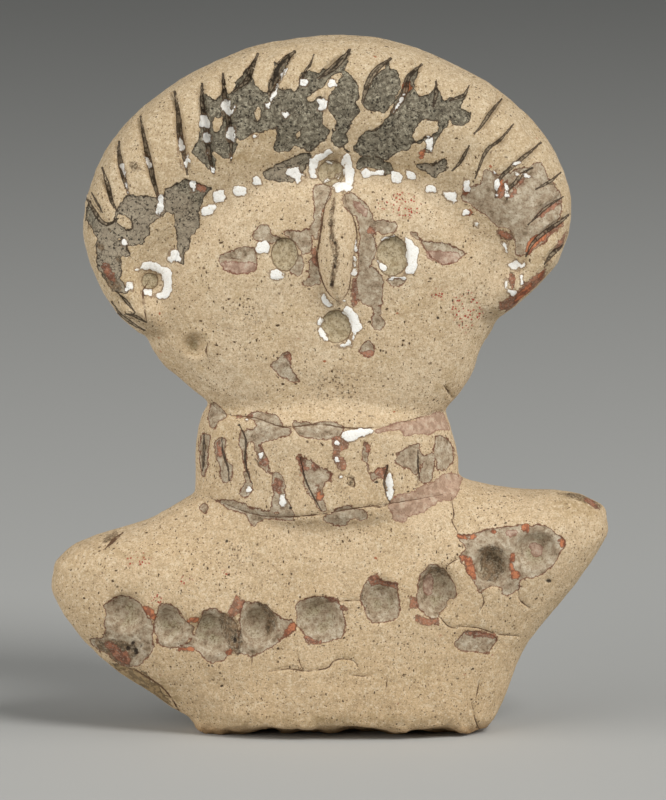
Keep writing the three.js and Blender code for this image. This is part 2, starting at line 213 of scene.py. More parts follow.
# Where the paint of the hair is broken away down to a dark grey ground.
HAIR_LOSSES = [
    [(202, 87), (210, 99), (217, 99), (223, 94), (224, 76), (226, 92), (233, 92), (238, 81),
     (247, 70), (257, 57), (251, 70), (252, 79), (259, 90), (269, 94), (269, 83), (274, 72),
     (274, 61), (277, 65), (286, 57), (293, 52), (289, 63), (279, 81), (276, 89), (290, 89),
     (297, 94), (299, 83), (304, 70), (317, 72), (328, 68), (333, 67), (345, 54), (348, 48),
     (352, 49), (347, 60), (344, 70), (333, 76), (326, 83), (322, 88), (313, 92), (306, 97),
     (308, 102), (315, 101), (319, 95), (326, 99), (322, 115), (324, 124), (329, 133),
     (326, 142), (319, 142), (313, 151), (304, 150), (294, 145), (290, 151), (281, 153),
     (273, 149), (276, 140), (278, 126), (269, 130), (261, 132), (252, 133), (244, 140),
     (236, 136), (236, 147), (234, 159), (226, 160), (219, 154), (212, 151), (217, 170),
     (212, 175), (206, 165), (197, 156), (190, 153), (195, 147), (199, 133), (201, 115)],
    [(344, 70), (351, 76), (358, 86), (359, 97), (354, 102), (361, 110), (356, 117),
     (345, 133), (349, 140), (344, 147), (351, 154), (338, 147), (331, 140), (333, 133),
     (336, 119), (333, 115), (326, 108), (328, 99), (333, 92), (336, 83)],
    [(388, 60), (389, 67), (397, 72), (401, 86), (395, 97), (394, 104), (383, 113),
     (372, 111), (361, 107), (364, 95), (370, 85), (376, 74), (385, 67)],
    [(419, 67), (417, 76), (413, 88), (420, 96), (431, 95), (437, 86), (440, 95), (445, 100),
     (458, 97), (469, 92), (463, 99), (461, 108), (470, 114), (470, 119), (463, 126),
     (454, 124), (449, 119), (445, 129), (436, 140), (431, 151), (422, 158), (420, 156),
     (428, 145), (424, 140), (420, 145), (413, 142), (410, 149), (395, 154), (386, 161),
     (376, 156), (361, 156), (353, 149), (360, 136), (369, 131), (379, 129), (383, 120),
     (390, 115), (395, 99), (404, 88), (407, 78)],
    [(413, 165), (422, 163), (431, 165), (440, 161), (446, 160), (447, 169), (440, 174),
     (435, 178), (426, 173), (419, 169)],
    [(261, 172), (276, 165), (290, 158), (301, 153), (311, 154), (308, 165), (304, 172),
     (295, 183), (283, 182), (267, 180)],
    [(356, 165), (363, 156), (376, 156), (388, 163), (394, 172), (386, 176), (378, 169),
     (365, 167), (358, 170)],
    [(119, 203), (125, 197), (133, 194), (143, 196), (151, 196), (158, 199), (166, 194),
     (166, 213), (158, 218), (151, 223), (148, 229), (148, 236), (141, 244), (135, 246),
     (125, 243), (113, 236), (107, 226), (116, 221), (116, 213)],
    [(163, 189), (173, 187), (180, 181), (186, 179), (196, 184), (206, 186), (213, 189),
     (204, 194), (203, 203), (199, 211), (201, 227), (194, 233), (190, 239), (189, 247),
     (184, 254), (184, 267), (180, 262), (173, 262), (178, 254), (177, 246), (178, 238),
     (175, 229), (175, 221), (173, 214), (165, 213), (165, 203)],
    [(88, 199), (95, 213), (105, 224), (113, 236), (123, 242), (128, 251), (134, 259),
     (128, 256), (121, 256), (122, 267), (120, 276), (125, 286), (130, 287), (126, 294),
     (115, 292), (105, 279), (98, 269), (97, 259), (95, 246), (97, 238), (90, 226),
     (86, 218), (86, 209)],
    [(454, 117), (460, 109), (466, 110), (470, 118), (468, 123), (458, 125), (454, 122)],
]
# Paint left standing inside those places.
HAIR_ISLANDS = [
    [(212, 119), (224, 115), (222, 124), (215, 135)],
    [(255, 106), (261, 105), (261, 119), (255, 124)],
    [(295, 133), (304, 126), (297, 140)],
    [(324, 115), (336, 115), (333, 119), (336, 132), (329, 129), (325, 125)],
    [(419, 120), (431, 119), (439, 122), (436, 133), (429, 140), (424, 137), (415, 142),
     (412, 137)],
    [(117, 212), (125, 214), (133, 221), (134, 228), (128, 231), (120, 226), (116, 222)],
]
# Thin grey and pink remains of a wash, on the face, the neck band, the chest and the hair.
WASH_PATCHES = [
    [(358, 217), (366, 222), (374, 234), (376, 246), (373, 262), (366, 270), (358, 272),
     (357, 256), (359, 240)],
    [(262, 239), (274, 236), (286, 238), (280, 243), (268, 243)],
    [(290, 262), (300, 254), (305, 266), (298, 277), (289, 273)],
    [(310, 256), (318, 258), (319, 274), (322, 286), (312, 284), (308, 272)],
    [(372, 306), (380, 307), (381, 316), (375, 318)],
    [(314, 183), (329, 185), (331, 193), (328, 201), (323, 210), (321, 220), (319, 230),
     (316, 240), (313, 236), (309, 230), (314, 220), (314, 206), (312, 198), (313, 190)],
    [(283, 231), (290, 230), (299, 231), (306, 228), (311, 233), (313, 243), (309, 253),
     (303, 254), (299, 249), (294, 240), (285, 236)],
    [(251, 235), (258, 228), (266, 225), (269, 225), (271, 231), (272, 238), (266, 241),
     (256, 241)],
    [(301, 283), (308, 279), (313, 273), (318, 276), (316, 286), (306, 286)],
    [(343, 195), (354, 193), (366, 205), (372, 215), (374, 221), (382, 220), (397, 223),
     (397, 231), (386, 235), (376, 231), (366, 235), (359, 225), (357, 216), (349, 211),
     (343, 205)],
    [(357, 240), (362, 236), (367, 250), (367, 263), (362, 266), (359, 259)],
    [(357, 273), (367, 266), (376, 269), (383, 281), (383, 296), (381, 306), (373, 309),
     (366, 303), (354, 299), (354, 286)],
    [(372, 317), (379, 314), (386, 322), (384, 329), (376, 331), (372, 326)],
    [(359, 349), (364, 344), (369, 341), (375, 347), (374, 354), (369, 358), (363, 356)],
    [(387, 279), (399, 278), (406, 279), (399, 286), (391, 288)],
    [(271, 364), (281, 356), (288, 350), (290, 354), (291, 364), (294, 372), (300, 382),
     (290, 384), (283, 377), (275, 370)],
    [(220, 258), (227, 251), (240, 248), (253, 247), (256, 253), (256, 263), (258, 268),
     (251, 273), (233, 273), (222, 269)],
    [(408, 231), (416, 233), (424, 240), (440, 241), (460, 249), (468, 254), (460, 260),
     (452, 263), (440, 264), (430, 258), (427, 253), (420, 244)],
    [(200, 508), (204, 503), (209, 508), (205, 514)],
    [(209, 407), (216, 403), (224, 411), (229, 416), (218, 421), (213, 430), (209, 424)],
    [(201, 432), (209, 434), (209, 445), (207, 460), (207, 470), (202, 478), (200, 462),
     (200, 447)],
    [(217, 437), (225, 437), (227, 445), (224, 451), (227, 460), (233, 468), (232, 478),
     (225, 482), (219, 478), (221, 466), (216, 457), (215, 445)],
    [(241, 428), (247, 436), (247, 457), (248, 470), (253, 487), (251, 493), (243, 499),
     (238, 495), (241, 489), (246, 485), (244, 472), (242, 457), (239, 443)],
    [(255, 447), (262, 446), (264, 453), (269, 462), (268, 468), (270, 474), (264, 472),
     (257, 462), (257, 455)],
    [(272, 472), (281, 472), (285, 485), (284, 495), (290, 506), (291, 512), (283, 512),
     (272, 512), (271, 502), (274, 491), (272, 481)],
    [(295, 457), (299, 455), (312, 462), (322, 468), (333, 474), (331, 480), (325, 483),
     (323, 491), (322, 497), (324, 504), (327, 512), (318, 510), (314, 501), (312, 497),
     (306, 491), (304, 483), (302, 472), (299, 464)],
    [(364, 443), (367, 442), (369, 451), (367, 457), (368, 464), (371, 472), (383, 468),
     (388, 466), (387, 478), (379, 478), (373, 483), (369, 478), (366, 464), (362, 457)],
    [(394, 457), (404, 449), (412, 445), (419, 443), (422, 453), (425, 462), (419, 468),
     (417, 476), (410, 470), (402, 467), (394, 464)],
    [(423, 457), (434, 453), (436, 460), (434, 472), (429, 483), (419, 481), (419, 474),
     (423, 466)],
    [(434, 443), (438, 434), (446, 437), (452, 445), (455, 457), (452, 464), (444, 470),
     (436, 470)],
    [(243, 416), (253, 412), (262, 412), (274, 415), (281, 422), (285, 428), (293, 430),
     (289, 435), (276, 439), (264, 441), (258, 446), (255, 451), (254, 443), (243, 437),
     (245, 430), (256, 428), (255, 422)],
    [(293, 421), (300, 421), (314, 424), (333, 421), (345, 426), (343, 432), (337, 439),
     (322, 439), (306, 437), (298, 434), (293, 428)],
    [(214, 500), (228, 499), (241, 502), (253, 508), (266, 512), (278, 514), (291, 510),
     (295, 514), (291, 520), (276, 520), (264, 518), (260, 523), (253, 527), (249, 522),
     (247, 514), (232, 510), (220, 504)],
    [(324, 516), (331, 512), (343, 506), (354, 504), (352, 508), (367, 510), (367, 516),
     (362, 520), (356, 518), (352, 518), (348, 523), (343, 527), (331, 525), (325, 522)],
    [(532, 166), (541, 161), (547, 176), (560, 192), (563, 207), (560, 220), (547, 239),
     (532, 252), (522, 257), (516, 254), (516, 239), (509, 228), (497, 227), (487, 217),
     (473, 206), (461, 199), (468, 188), (481, 182), (484, 169), (497, 176)],
    [(102, 605), (111, 600), (122, 595), (134, 599), (141, 604), (147, 614), (151, 622),
     (153, 631), (151, 643), (155, 646), (149, 656), (139, 666), (132, 667), (116, 662),
     (103, 652), (92, 644), (89, 638), (103, 639), (106, 629), (104, 622), (106, 612)],
    [(156, 612), (160, 606), (170, 604), (178, 608), (182, 616), (187, 623), (193, 625),
     (193, 633), (187, 643), (178, 648), (164, 648), (157, 643), (155, 631), (155, 620)],
    [(199, 622), (203, 612), (212, 608), (224, 612), (231, 618), (237, 625), (239, 639),
     (233, 652), (224, 660), (212, 662), (205, 660), (199, 652), (193, 648), (178, 649),
     (185, 644), (193, 639)],
    [(243, 602), (252, 602), (264, 604), (270, 608), (275, 614), (285, 620), (294, 621),
     (296, 631), (289, 635), (279, 641), (270, 648), (260, 654), (252, 658), (243, 654),
     (233, 653), (239, 644), (241, 631), (239, 618)],
    [(294, 604), (302, 599), (314, 597), (330, 596), (340, 602), (345, 616), (345, 630),
     (340, 638), (323, 644), (312, 643), (304, 635), (297, 625), (296, 614)],
    [(361, 596), (362, 588), (368, 579), (375, 574), (379, 579), (389, 584), (396, 583),
     (398, 590), (399, 602), (399, 614), (389, 622), (377, 623), (369, 620), (364, 610)],
    [(421, 573), (429, 565), (437, 564), (446, 571), (452, 581), (456, 586), (456, 598),
     (448, 600), (443, 612), (437, 618), (431, 620), (423, 614), (417, 604), (416, 592),
     (418, 583)],
    [(457, 535), (466, 536), (476, 533), (484, 528), (494, 528), (510, 526), (518, 524),
     (530, 525), (539, 523), (549, 528), (557, 535), (565, 539), (564, 547), (559, 555),
     (553, 565), (543, 573), (533, 577), (520, 579), (519, 588), (514, 594), (504, 595),
     (500, 586), (488, 588), (482, 592), (478, 592), (476, 583), (470, 575), (462, 563),
     (460, 555), (466, 547), (460, 541)],
    [(454, 646), (462, 636), (468, 630), (480, 632), (492, 634), (499, 640), (494, 646),
     (488, 654), (472, 652), (460, 651)],
]
# Dark brown stains, and painted shade: dark crescents at the edges of four finger hollows.
STAINS_AND_HOLLOW_SHADE = [
    [(331, 196), (336, 197), (335, 214), (334, 230), (340, 246), (340, 262), (337, 276),
     (335, 291), (330, 291), (330, 275), (333, 261), (331, 246), (328, 231), (329, 213)],
    # Painted shade: a dark crescent at the left edge of a finger hollow.
    [(360, 594), (364, 583), (367, 598), (371, 617), (365, 611)],
    # Painted shade: a dark crescent along the top edge of a finger hollow.
    [(418, 586), (423, 573), (432, 565), (443, 566), (452, 580), (446, 577), (436, 571),
     (427, 576), (422, 590)],
    # Painted shade: a dark crescent along the top edge of a finger hollow.
    [(478, 549), (490, 543), (503, 549), (501, 555), (490, 550), (480, 556)],
    [(92, 639), (105, 639), (120, 639), (132, 643), (139, 648), (136, 660), (124, 666),
     (113, 660), (97, 648)],
    [(555, 494), (569, 491), (583, 493), (595, 498), (603, 507), (597, 511), (585, 503),
     (573, 498)],
    [(129, 160), (137, 162), (142, 170), (137, 173), (130, 168)],
    [(95, 242), (103, 243), (105, 250), (98, 252)],
    [(114, 254), (122, 256), (122, 263), (115, 264)],
    [(99, 269), (110, 272), (120, 282), (124, 291), (116, 294), (105, 282)],
    [(496, 229), (504, 228), (514, 231), (515, 239), (504, 241), (497, 238)],
    [(509, 271), (515, 271), (516, 282), (514, 289), (510, 286)],
    [(541, 258), (551, 256), (552, 264), (544, 269)],
    [(88, 222), (93, 226), (91, 232), (87, 228)],
    # Painted shade: a dark crescent at the right edge of a finger hollow.
    [(255, 602), (265, 602), (273, 609), (278, 620), (274, 632), (265, 635), (268, 624),
     (265, 613)],
    [(101, 545), (104, 537), (112, 532), (119, 530), (117, 537), (108, 544)],
    [(219, 610), (230, 612), (241, 621), (244, 640), (241, 656), (230, 654), (226, 641),
     (218, 626)],
    [(479, 556), (491, 549), (503, 556), (505, 570), (498, 582), (487, 584), (480, 574)],
    [(201, 440), (206, 442), (206, 466), (202, 472)],
    [(253, 456), (259, 461), (263, 470), (258, 466)],
    [(348, 476), (354, 478), (354, 487), (348, 486)],
    [(362, 444), (365, 445), (366, 462), (363, 458)],
]
# Remains of bright red paint.
REDS = [
    [(523, 290), (532, 280), (534, 284), (526, 294), (516, 303), (512, 302)],
    [(538, 274), (545, 270), (542, 280), (537, 282)],
    [(528, 241), (538, 234), (546, 231), (545, 238), (535, 246), (531, 254), (525, 254)],
    [(498, 180), (504, 178), (503, 186), (500, 194), (497, 196)],
    [(514, 184), (520, 178), (518, 186), (512, 192)],
    [(402, 84), (411, 80), (410, 90), (404, 96)],
    [(419, 150), (427, 150), (425, 159), (419, 160)],
    [(463, 188), (469, 188), (468, 195), (464, 195)],
    [(464, 211), (471, 208), (472, 215), (466, 216)],
    [(141, 604), (149, 606), (156, 612), (155, 620), (150, 616), (145, 612)],
    [(186, 619), (193, 618), (200, 617), (199, 622), (193, 624), (188, 622)],
    [(176, 648), (186, 647), (193, 648), (193, 651), (176, 651)],
    [(277, 641), (283, 633), (289, 625), (295, 622), (296, 631), (289, 635)],
    [(226, 650), (231, 648), (232, 654), (227, 656)],
    [(460, 554), (470, 557), (475, 567), (476, 579), (472, 577), (464, 565)],
    [(457, 535), (466, 536), (476, 534), (476, 538), (466, 540), (458, 538)],
    [(491, 529), (497, 529), (497, 534), (491, 534)],
    [(522, 524), (530, 524), (530, 531), (522, 531)],
    [(560, 537), (565, 539), (564, 548), (559, 546)],
    [(510, 553), (515, 555), (513, 567), (520, 573), (518, 579), (511, 577), (509, 567)],
    [(314, 487), (320, 486), (322, 500), (317, 501)],
]
# Duller red-brown remains.
RUSTS = [
    [(532, 276), (541, 272), (547, 268), (543, 282), (533, 292), (523, 302), (510, 311),
     (500, 311), (498, 306), (503, 299), (515, 294), (523, 286)],
    [(560, 250), (566, 240), (569, 228), (565, 232), (558, 244), (552, 252)],
    [(548, 206), (560, 200), (562, 203), (550, 210), (540, 218), (536, 216)],
    [(541, 236), (552, 228), (562, 221), (563, 225), (553, 233), (543, 242)],
    [(498, 197), (503, 186), (507, 178), (510, 180), (506, 188), (501, 199)],
    [(508, 197), (515, 186), (522, 178), (524, 181), (518, 190), (511, 200)],
    [(106, 641), (116, 645), (125, 652), (132, 661), (126, 665), (115, 658), (107, 650)],
    [(103, 262), (110, 268), (116, 282), (110, 280), (102, 270)],
    [(583, 497), (593, 499), (600, 508), (594, 510)],
    [(508, 272), (516, 276), (514, 292), (509, 288)],
    [(497, 228), (506, 230), (512, 236), (506, 240), (498, 236)],
    [(198, 184), (206, 187), (204, 191), (197, 189)],
    [(228, 612), (231, 605), (234, 602), (235, 593), (239, 599), (245, 600), (243, 604),
     (241, 612), (237, 616), (231, 617)],
    [(306, 635), (314, 640), (323, 641), (323, 645), (312, 645), (304, 638)],
    [(322, 594), (332, 595), (341, 600), (347, 612), (343, 612), (338, 603), (326, 599)],
    [(410, 596), (416, 596), (418, 608), (411, 608)],
    [(415, 614), (427, 620), (438, 619), (438, 624), (424, 625), (415, 620)],
    [(368, 578), (375, 573), (381, 579), (390, 583), (397, 582), (398, 588), (388, 588),
     (377, 583), (370, 584)],
    [(464, 632), (480, 631), (492, 633), (499, 638), (490, 638), (474, 637)],
    [(331, 437), (339, 436), (346, 441), (348, 447), (341, 451), (341, 457), (346, 466),
     (346, 472), (341, 474), (337, 468), (332, 458), (333, 447)],
    [(259, 458), (267, 457), (270, 464), (263, 467)],
    [(260, 446), (264, 446), (264, 451), (260, 451)],
    [(274, 480), (281, 480), (283, 490), (277, 495), (273, 488)],
    [(295, 457), (300, 455), (306, 462), (308, 470), (302, 472)],
    [(312, 462), (320, 466), (320, 472), (312, 470)],
    [(327, 471), (334, 474), (333, 483), (327, 482)],
    [(365, 444), (370, 444), (370, 452), (365, 452)],
    [(373, 472), (387, 466), (386, 477), (375, 478)],
    [(236, 414), (253, 414), (253, 418), (237, 418)],
    [(217, 440), (222, 440), (222, 456), (218, 456)],
    [(352, 279), (356, 279), (357, 306), (352, 306)],
    [(361, 352), (374, 350), (372, 357), (363, 357)],
    [(286, 350), (290, 352), (292, 364), (287, 364)],
    [(313, 249), (316, 249), (319, 266), (316, 269), (310, 258)],
    [(366, 226), (374, 227), (374, 234), (366, 235)],
]
# Pink remains beside the eyes, and mostly on the right of the neck band.
PINKS = [
    [(424, 250), (440, 252), (458, 252), (463, 257), (456, 262), (440, 264), (428, 260)],
    [(222, 263), (240, 261), (257, 264), (256, 270), (248, 273), (233, 273), (223, 269)],
    [(394, 495), (410, 493), (421, 487), (431, 483), (440, 476), (454, 472), (463, 478),
     (461, 487), (452, 502), (446, 500), (438, 502), (432, 506), (421, 512), (410, 516),
     (408, 514), (406, 522), (394, 522), (390, 512), (388, 506)],
    [(373, 430), (390, 426), (410, 421), (427, 416), (440, 411), (448, 422), (450, 430),
     (440, 430), (427, 435), (410, 435), (404, 437), (402, 430), (389, 431), (377, 434)],
    [(529, 545), (537, 541), (544, 547), (541, 556), (532, 557)],
    [(423, 577), (430, 573), (434, 581), (433, 591), (428, 596), (423, 589)],
    [(352, 200), (358, 201), (367, 211), (366, 218), (358, 212)],
    [(506, 531), (517, 529), (518, 536), (508, 537)],
]

# Daubs of white paint: centre and half sizes.
WHITE_SQUARENESS = 3.5
WHITE_DAUBS = [
    (148, 161, 3.0, 5), (160.7, 203.5, 3.0, 7.5), (182, 146, 3.0, 6), (186, 161, 3.0, 7),
    (192, 185.5, 2, 4), (204.7, 120.5, 5, 6.5), (206, 137.5, 4.5, 5), (208, 153, 2, 3),
    (213, 171, 3.2, 3.2), (226, 107, 4, 7), (230.6, 133, 3.6, 6), (231.4, 158, 3, 3.5),
    (254.5, 136, 2, 2), (268, 106, 2.5, 2.5), (286, 116, 2.5, 2.5), (303, 83, 3, 3),
    (323, 105, 5, 6), (333, 83, 4.5, 4.5), (429, 145, 2.5, 5), (467, 185.5, 2.5, 5),
    (496.5, 184, 2.3, 8), (515.6, 163, 3, 1.8), (507.5, 190, 2, 6), (522, 174, 4, 1.8),
    (124, 242, 2, 2), (128.7, 286, 4, 4), (148, 293.5, 4, 3.5), (137, 269, 2, 2),
    (174.5, 256, 5.5, 6), (207.5, 210, 6.5, 5), (219.6, 196, 6.8, 6), (240, 190.6, 5.5, 5),
    (257, 181.5, 3.5, 4.5), (396.5, 177.4, 5, 5.5),
    (410.6, 175, 4.5, 4.5), (431.3, 188, 3.8, 4), (449.8, 196.4, 5.5, 5), (466, 211.5, 3, 3),
    (477.4, 223.4, 4, 4), (505.3, 247.3, 3, 4.7), (521, 277, 1.8, 5),
    (507, 284, 1.8, 6), (513, 293, 2.5, 2.5), (262.2, 247.8, 6.2, 6), (328, 181, 2.5, 2),
    (336, 176.5, 3, 3),
    (313, 176, 2.5, 2), (326, 180.7, 2, 2), (260.4, 456.5, 2, 2.5), (336, 460, 1.5, 2),
    (337, 443, 1.6, 1.6), (341, 474, 1.5, 2), (247, 420, 2.2, 1.8), (250, 490, 2.5, 2.5),
    (282.4, 500.5, 2, 4), (418, 477.6, 1.2, 3),
]
# Strokes of white paint, with their half widths.
WHITE_STROKES = [
    ([(122, 165), (125, 178), (128, 192)], 1.2),
    ([(228, 118), (233, 110), (235, 106)], 1.2),
    ([(286, 69), (275, 90), (272, 100)], 1.2),
    ([(325, 91), (323, 100)], 1.4),
    ([(404, 95), (399, 104), (394, 112)], 2.0),
    ([(146, 266), (155, 267), (163, 271), (167, 278), (167, 287), (164, 294), (159, 295)], 4.8),
    ([(137, 269), (146, 266)], 2.2),
    ([(313, 176), (312, 168), (316, 160), (324, 155), (328, 152)], 3.0),
    ([(326, 162), (336, 162)], 1.5),
    ([(346, 158), (349, 167), (350, 176), (348, 185), (338, 187)], 4.6),
    ([(382, 240), (393, 236)], 1.3),
    ([(392, 278), (404, 277)], 1.2),
    ([(356, 238), (357, 250)], 1.2),
    ([(355, 258), (354, 273)], 2.3),
    ([(339, 304), (344, 301)], 1.0),
    ([(321, 317), (320, 323)], 1.5),
]

# Larger patches of the white paint, by the jewel, the eyes, the mouth and on the neck band.
WHITE_PATCHES = [
    [(360, 172), (364, 168), (372, 169), (384, 173), (381, 176), (372, 177), (362, 178)],
    [(286, 174), (290, 168), (299, 167), (304, 174), (299, 181), (296, 184), (294, 178)],
    [(267, 274), (273, 269), (280, 268), (285, 273), (283, 278), (273, 279)],
    [(404, 236), (412, 240), (418, 248), (420, 256), (416, 266), (411, 273), (402, 277),
     (405, 272), (410, 264), (406, 258), (406, 249), (405, 240)],
    [(374, 259), (379, 259), (386, 266), (386, 270), (381, 269), (377, 264)],
    [(344, 306), (354, 309), (360, 317), (361, 329), (356, 339), (351, 348), (343, 348),
     (333, 346), (338, 344), (349, 341), (352, 331), (351, 322), (347, 316), (341, 310)],
    [(319, 329), (322, 328), (326, 334), (330, 339), (328, 342), (321, 337)],
    [(321, 293), (326, 294), (329, 299), (334, 306), (328, 308), (322, 302), (320, 298)],
    [(340, 435), (344, 431), (358, 428), (373, 430), (371, 433), (358, 439), (350, 441),
     (343, 439)],
    [(388, 470), (392, 471), (392, 481), (395, 491), (392, 500), (389, 500), (387, 493),
     (386, 481)],
    [(507, 262), (513, 260), (520, 262), (527, 265), (524, 269), (514, 269), (508, 267)],
]

# Things pressed into the clay with a round stick: centre and half sizes.
STAMPS = [
    (392.3, 256, 15.5, 20), (284.6, 254.5, 13, 17), (336, 326.6, 15.5, 16.5),
    (331, 173, 13, 13), (150, 281, 8, 8),
]
# The clay of the hair is a little browner: an outline beyond the rim and along the hairline.
HAIR_CLAY = [
    [(150, 300), (158, 270), (180, 236), (207, 208), (240, 189), (290, 172), (330, 165),
     (372, 170), (411, 175), (450, 196), (478, 223), (505, 250), (520, 280), (510, 310),
     (560, 290), (590, 220), (560, 130), (480, 60), (380, 25), (280, 25), (180, 60), (110, 130),
     (70, 200), (85, 270), (120, 330)],
]
# Rough ochre strips where the surface has come off.
SCARS = [
    [(108, 662), (120, 663), (142, 672), (155, 682), (163, 692), (170, 703), (180, 714),
     (178, 722), (160, 710), (144, 698), (130, 687), (110, 672)],
]
# Faint brown stains with soft edges, and painted shade on the hair's lower slope: centre and half
# sizes.
FAINT_STAINS_AND_HAIR_SHADE = [
    (118, 550, 20, 9), (94, 574, 9, 8), (136, 587, 13, 6), (578, 506, 30, 14),
    (569, 516, 14, 9), (158, 696, 24, 20), (176, 716, 12, 14), (148, 556, 12, 8),
    # Painted shade: the first three on this row darken the lower slope of the hair above the
    # hairline.
    (250, 130, 60, 12), (240, 158, 40, 10), (400, 168, 50, 10), (300, 720, 120, 8),
    (192, 345, 14, 13), (446, 386, 10, 12), (496, 318, 5, 9), (484, 341, 9, 6),
    (476, 366, 5, 15), (455, 395, 8, 6), (368, 559, 5, 5),
]
# Small black pits, and places with many dark or red specks: centre and half sizes.
PITS = [
    (128, 648, 2.2, 2.2), (133, 643, 2.2, 1.7), (140, 639, 1.5, 1.6), (137, 653, 2, 1.8),
    (331.8, 208, 1.3, 2), (331, 216, 1.1, 1.5), (330.7, 225, 1.3, 3), (335, 243, 1.2, 2),
    (336.5, 258, 1.4, 2), (335, 267, 1.3, 2.5), (332, 283, 2.2, 4), (221.7, 686, 1.8, 1.4),
    (549, 581, 2.4, 1.6), (136, 650, 2.4, 2.2), (141, 646, 1.6, 1.8), (235, 640, 1.8, 3),
    (239, 425, 2, 2), (291, 508, 1.6, 1.3), (376, 482, 2.4, 1.6),
    (209, 681, 1.6, 1.4), (438, 318, 1.5, 1.5), (227, 541, 2.2, 2),
    (102, 573, 1.5, 1.5),
]
DARK_SPECKLED = [(338, 388, 32, 22), (248, 312, 24, 18), (236, 552, 30, 16)]
RED_SPECKLED = [
    (467, 312, 16, 22), (404, 205, 18, 14), (186, 581, 8, 7), (155, 600, 6, 9),
    (140, 560, 16, 9), (440, 292, 14, 8), (225, 574, 7, 6), (388, 205, 10, 8),
]
# Where the ground under the lost paint of the hair is paler.
PALE_GROUND = [(152, 226, 58, 46), (108, 262, 34, 48), (285, 172, 34, 16), (430, 168, 24, 14)]
# Hollows pressed with a finger.
HOLLOWS = [
    (125, 613, 20, 19), (170, 624, 17, 18), (210, 632, 20, 21), (260, 625, 18, 20),
    (318, 618, 21, 22), (381, 600, 17, 22), (436.6, 592, 19, 27), (491, 567, 17, 20),
    (535, 550, 22, 19), (196, 346, 12.5, 12.5),
]

# The broken lower front edge: place across in pixels, and how far it is lifted in millimetres.
EDGE_ACROSS = [190, 230, 250, 270, 294, 327, 344, 360, 385, 399, 411, 427, 447, 458, 466, 476]
EDGE_LIFT = [0.4, 0.9, 1.4, 1.8, 1.5, 1.1, 1.7, 1.8, 1.0, 0.2, 0.5, 1.2, 1.6, 1.3, 0.4, 0.0]
EDGE_REACH = 6
EDGE_FRONT_MM = 9
EDGE_BACK_MM = 3

# The outline of the nose.
NOSE = [(337, 193), (326, 225), (318, 262), (330, 298), (338, 304), (347, 298), (357, 262),
        (348, 225)]

# Marks drawn by outlines, with the islands left out of them.
# The two numbers say how ragged and how wavy the mark's edge is.
OUTLINED_MARKS = {
    "hair_loss": (HAIR_LOSSES, HAIR_ISLANDS, 0.9, 0),
    "wash": (WASH_PATCHES, [], 0.75, 0.3),
    "stain_and_hollow_shade": (STAINS_AND_HOLLOW_SHADE, [], 0.8, 0),
    "red": (REDS, [], 0.9, 0),
    "rust": (RUSTS, [], 1.1, 0),
    "pink": (PINKS, [], 0.7, 0.3),
    "hair_clay": (HAIR_CLAY, [], 0, 1),
    "scar": (SCARS, [], 1.2, 0),
}
# The same for marks drawn by centres and half sizes.
DAUBED_MARKS = {
    "pressed": (STAMPS, 0.3, 0),
    "hollow": (HOLLOWS, 0, 0),
    "faint": (FAINT_STAINS_AND_HAIR_SHADE, 0, 1.5),
    "pits": (PITS, 0.3, 0),
    "dark_specks": (DARK_SPECKLED, 0, 1),
    "red_specks": (RED_SPECKLED, 0, 1),
    "pale_ground": (PALE_GROUND, 0, 2),
}
# The waves in those edges: height in pixels, length in millimetres, and seed.
RAGGED_WAVES = [(2.2, 1.1, 11), (1.2, 0.55, 12)]
WAVY_WAVES = [(3, 2.4, 13)]
WHITE_RAGGEDNESS = 1.1
SLASH_RAGGEDNESS = 0.12

# How far beside a mark its measure is worked out, in pixels.
MARK_REACH = 14

# How wide a tapering stroke is at its ends, as a share of its middle.
STROKE_END = 0.3

# How far the clay has to face the camera before marks show, and before they show in full.
# Where it faces away, every mark shrinks by the last value, in pixels.
FACING_LEAST = 0.02
FACING_FULL = 0.14
FACING_FADE = 5 * MARK_REACH

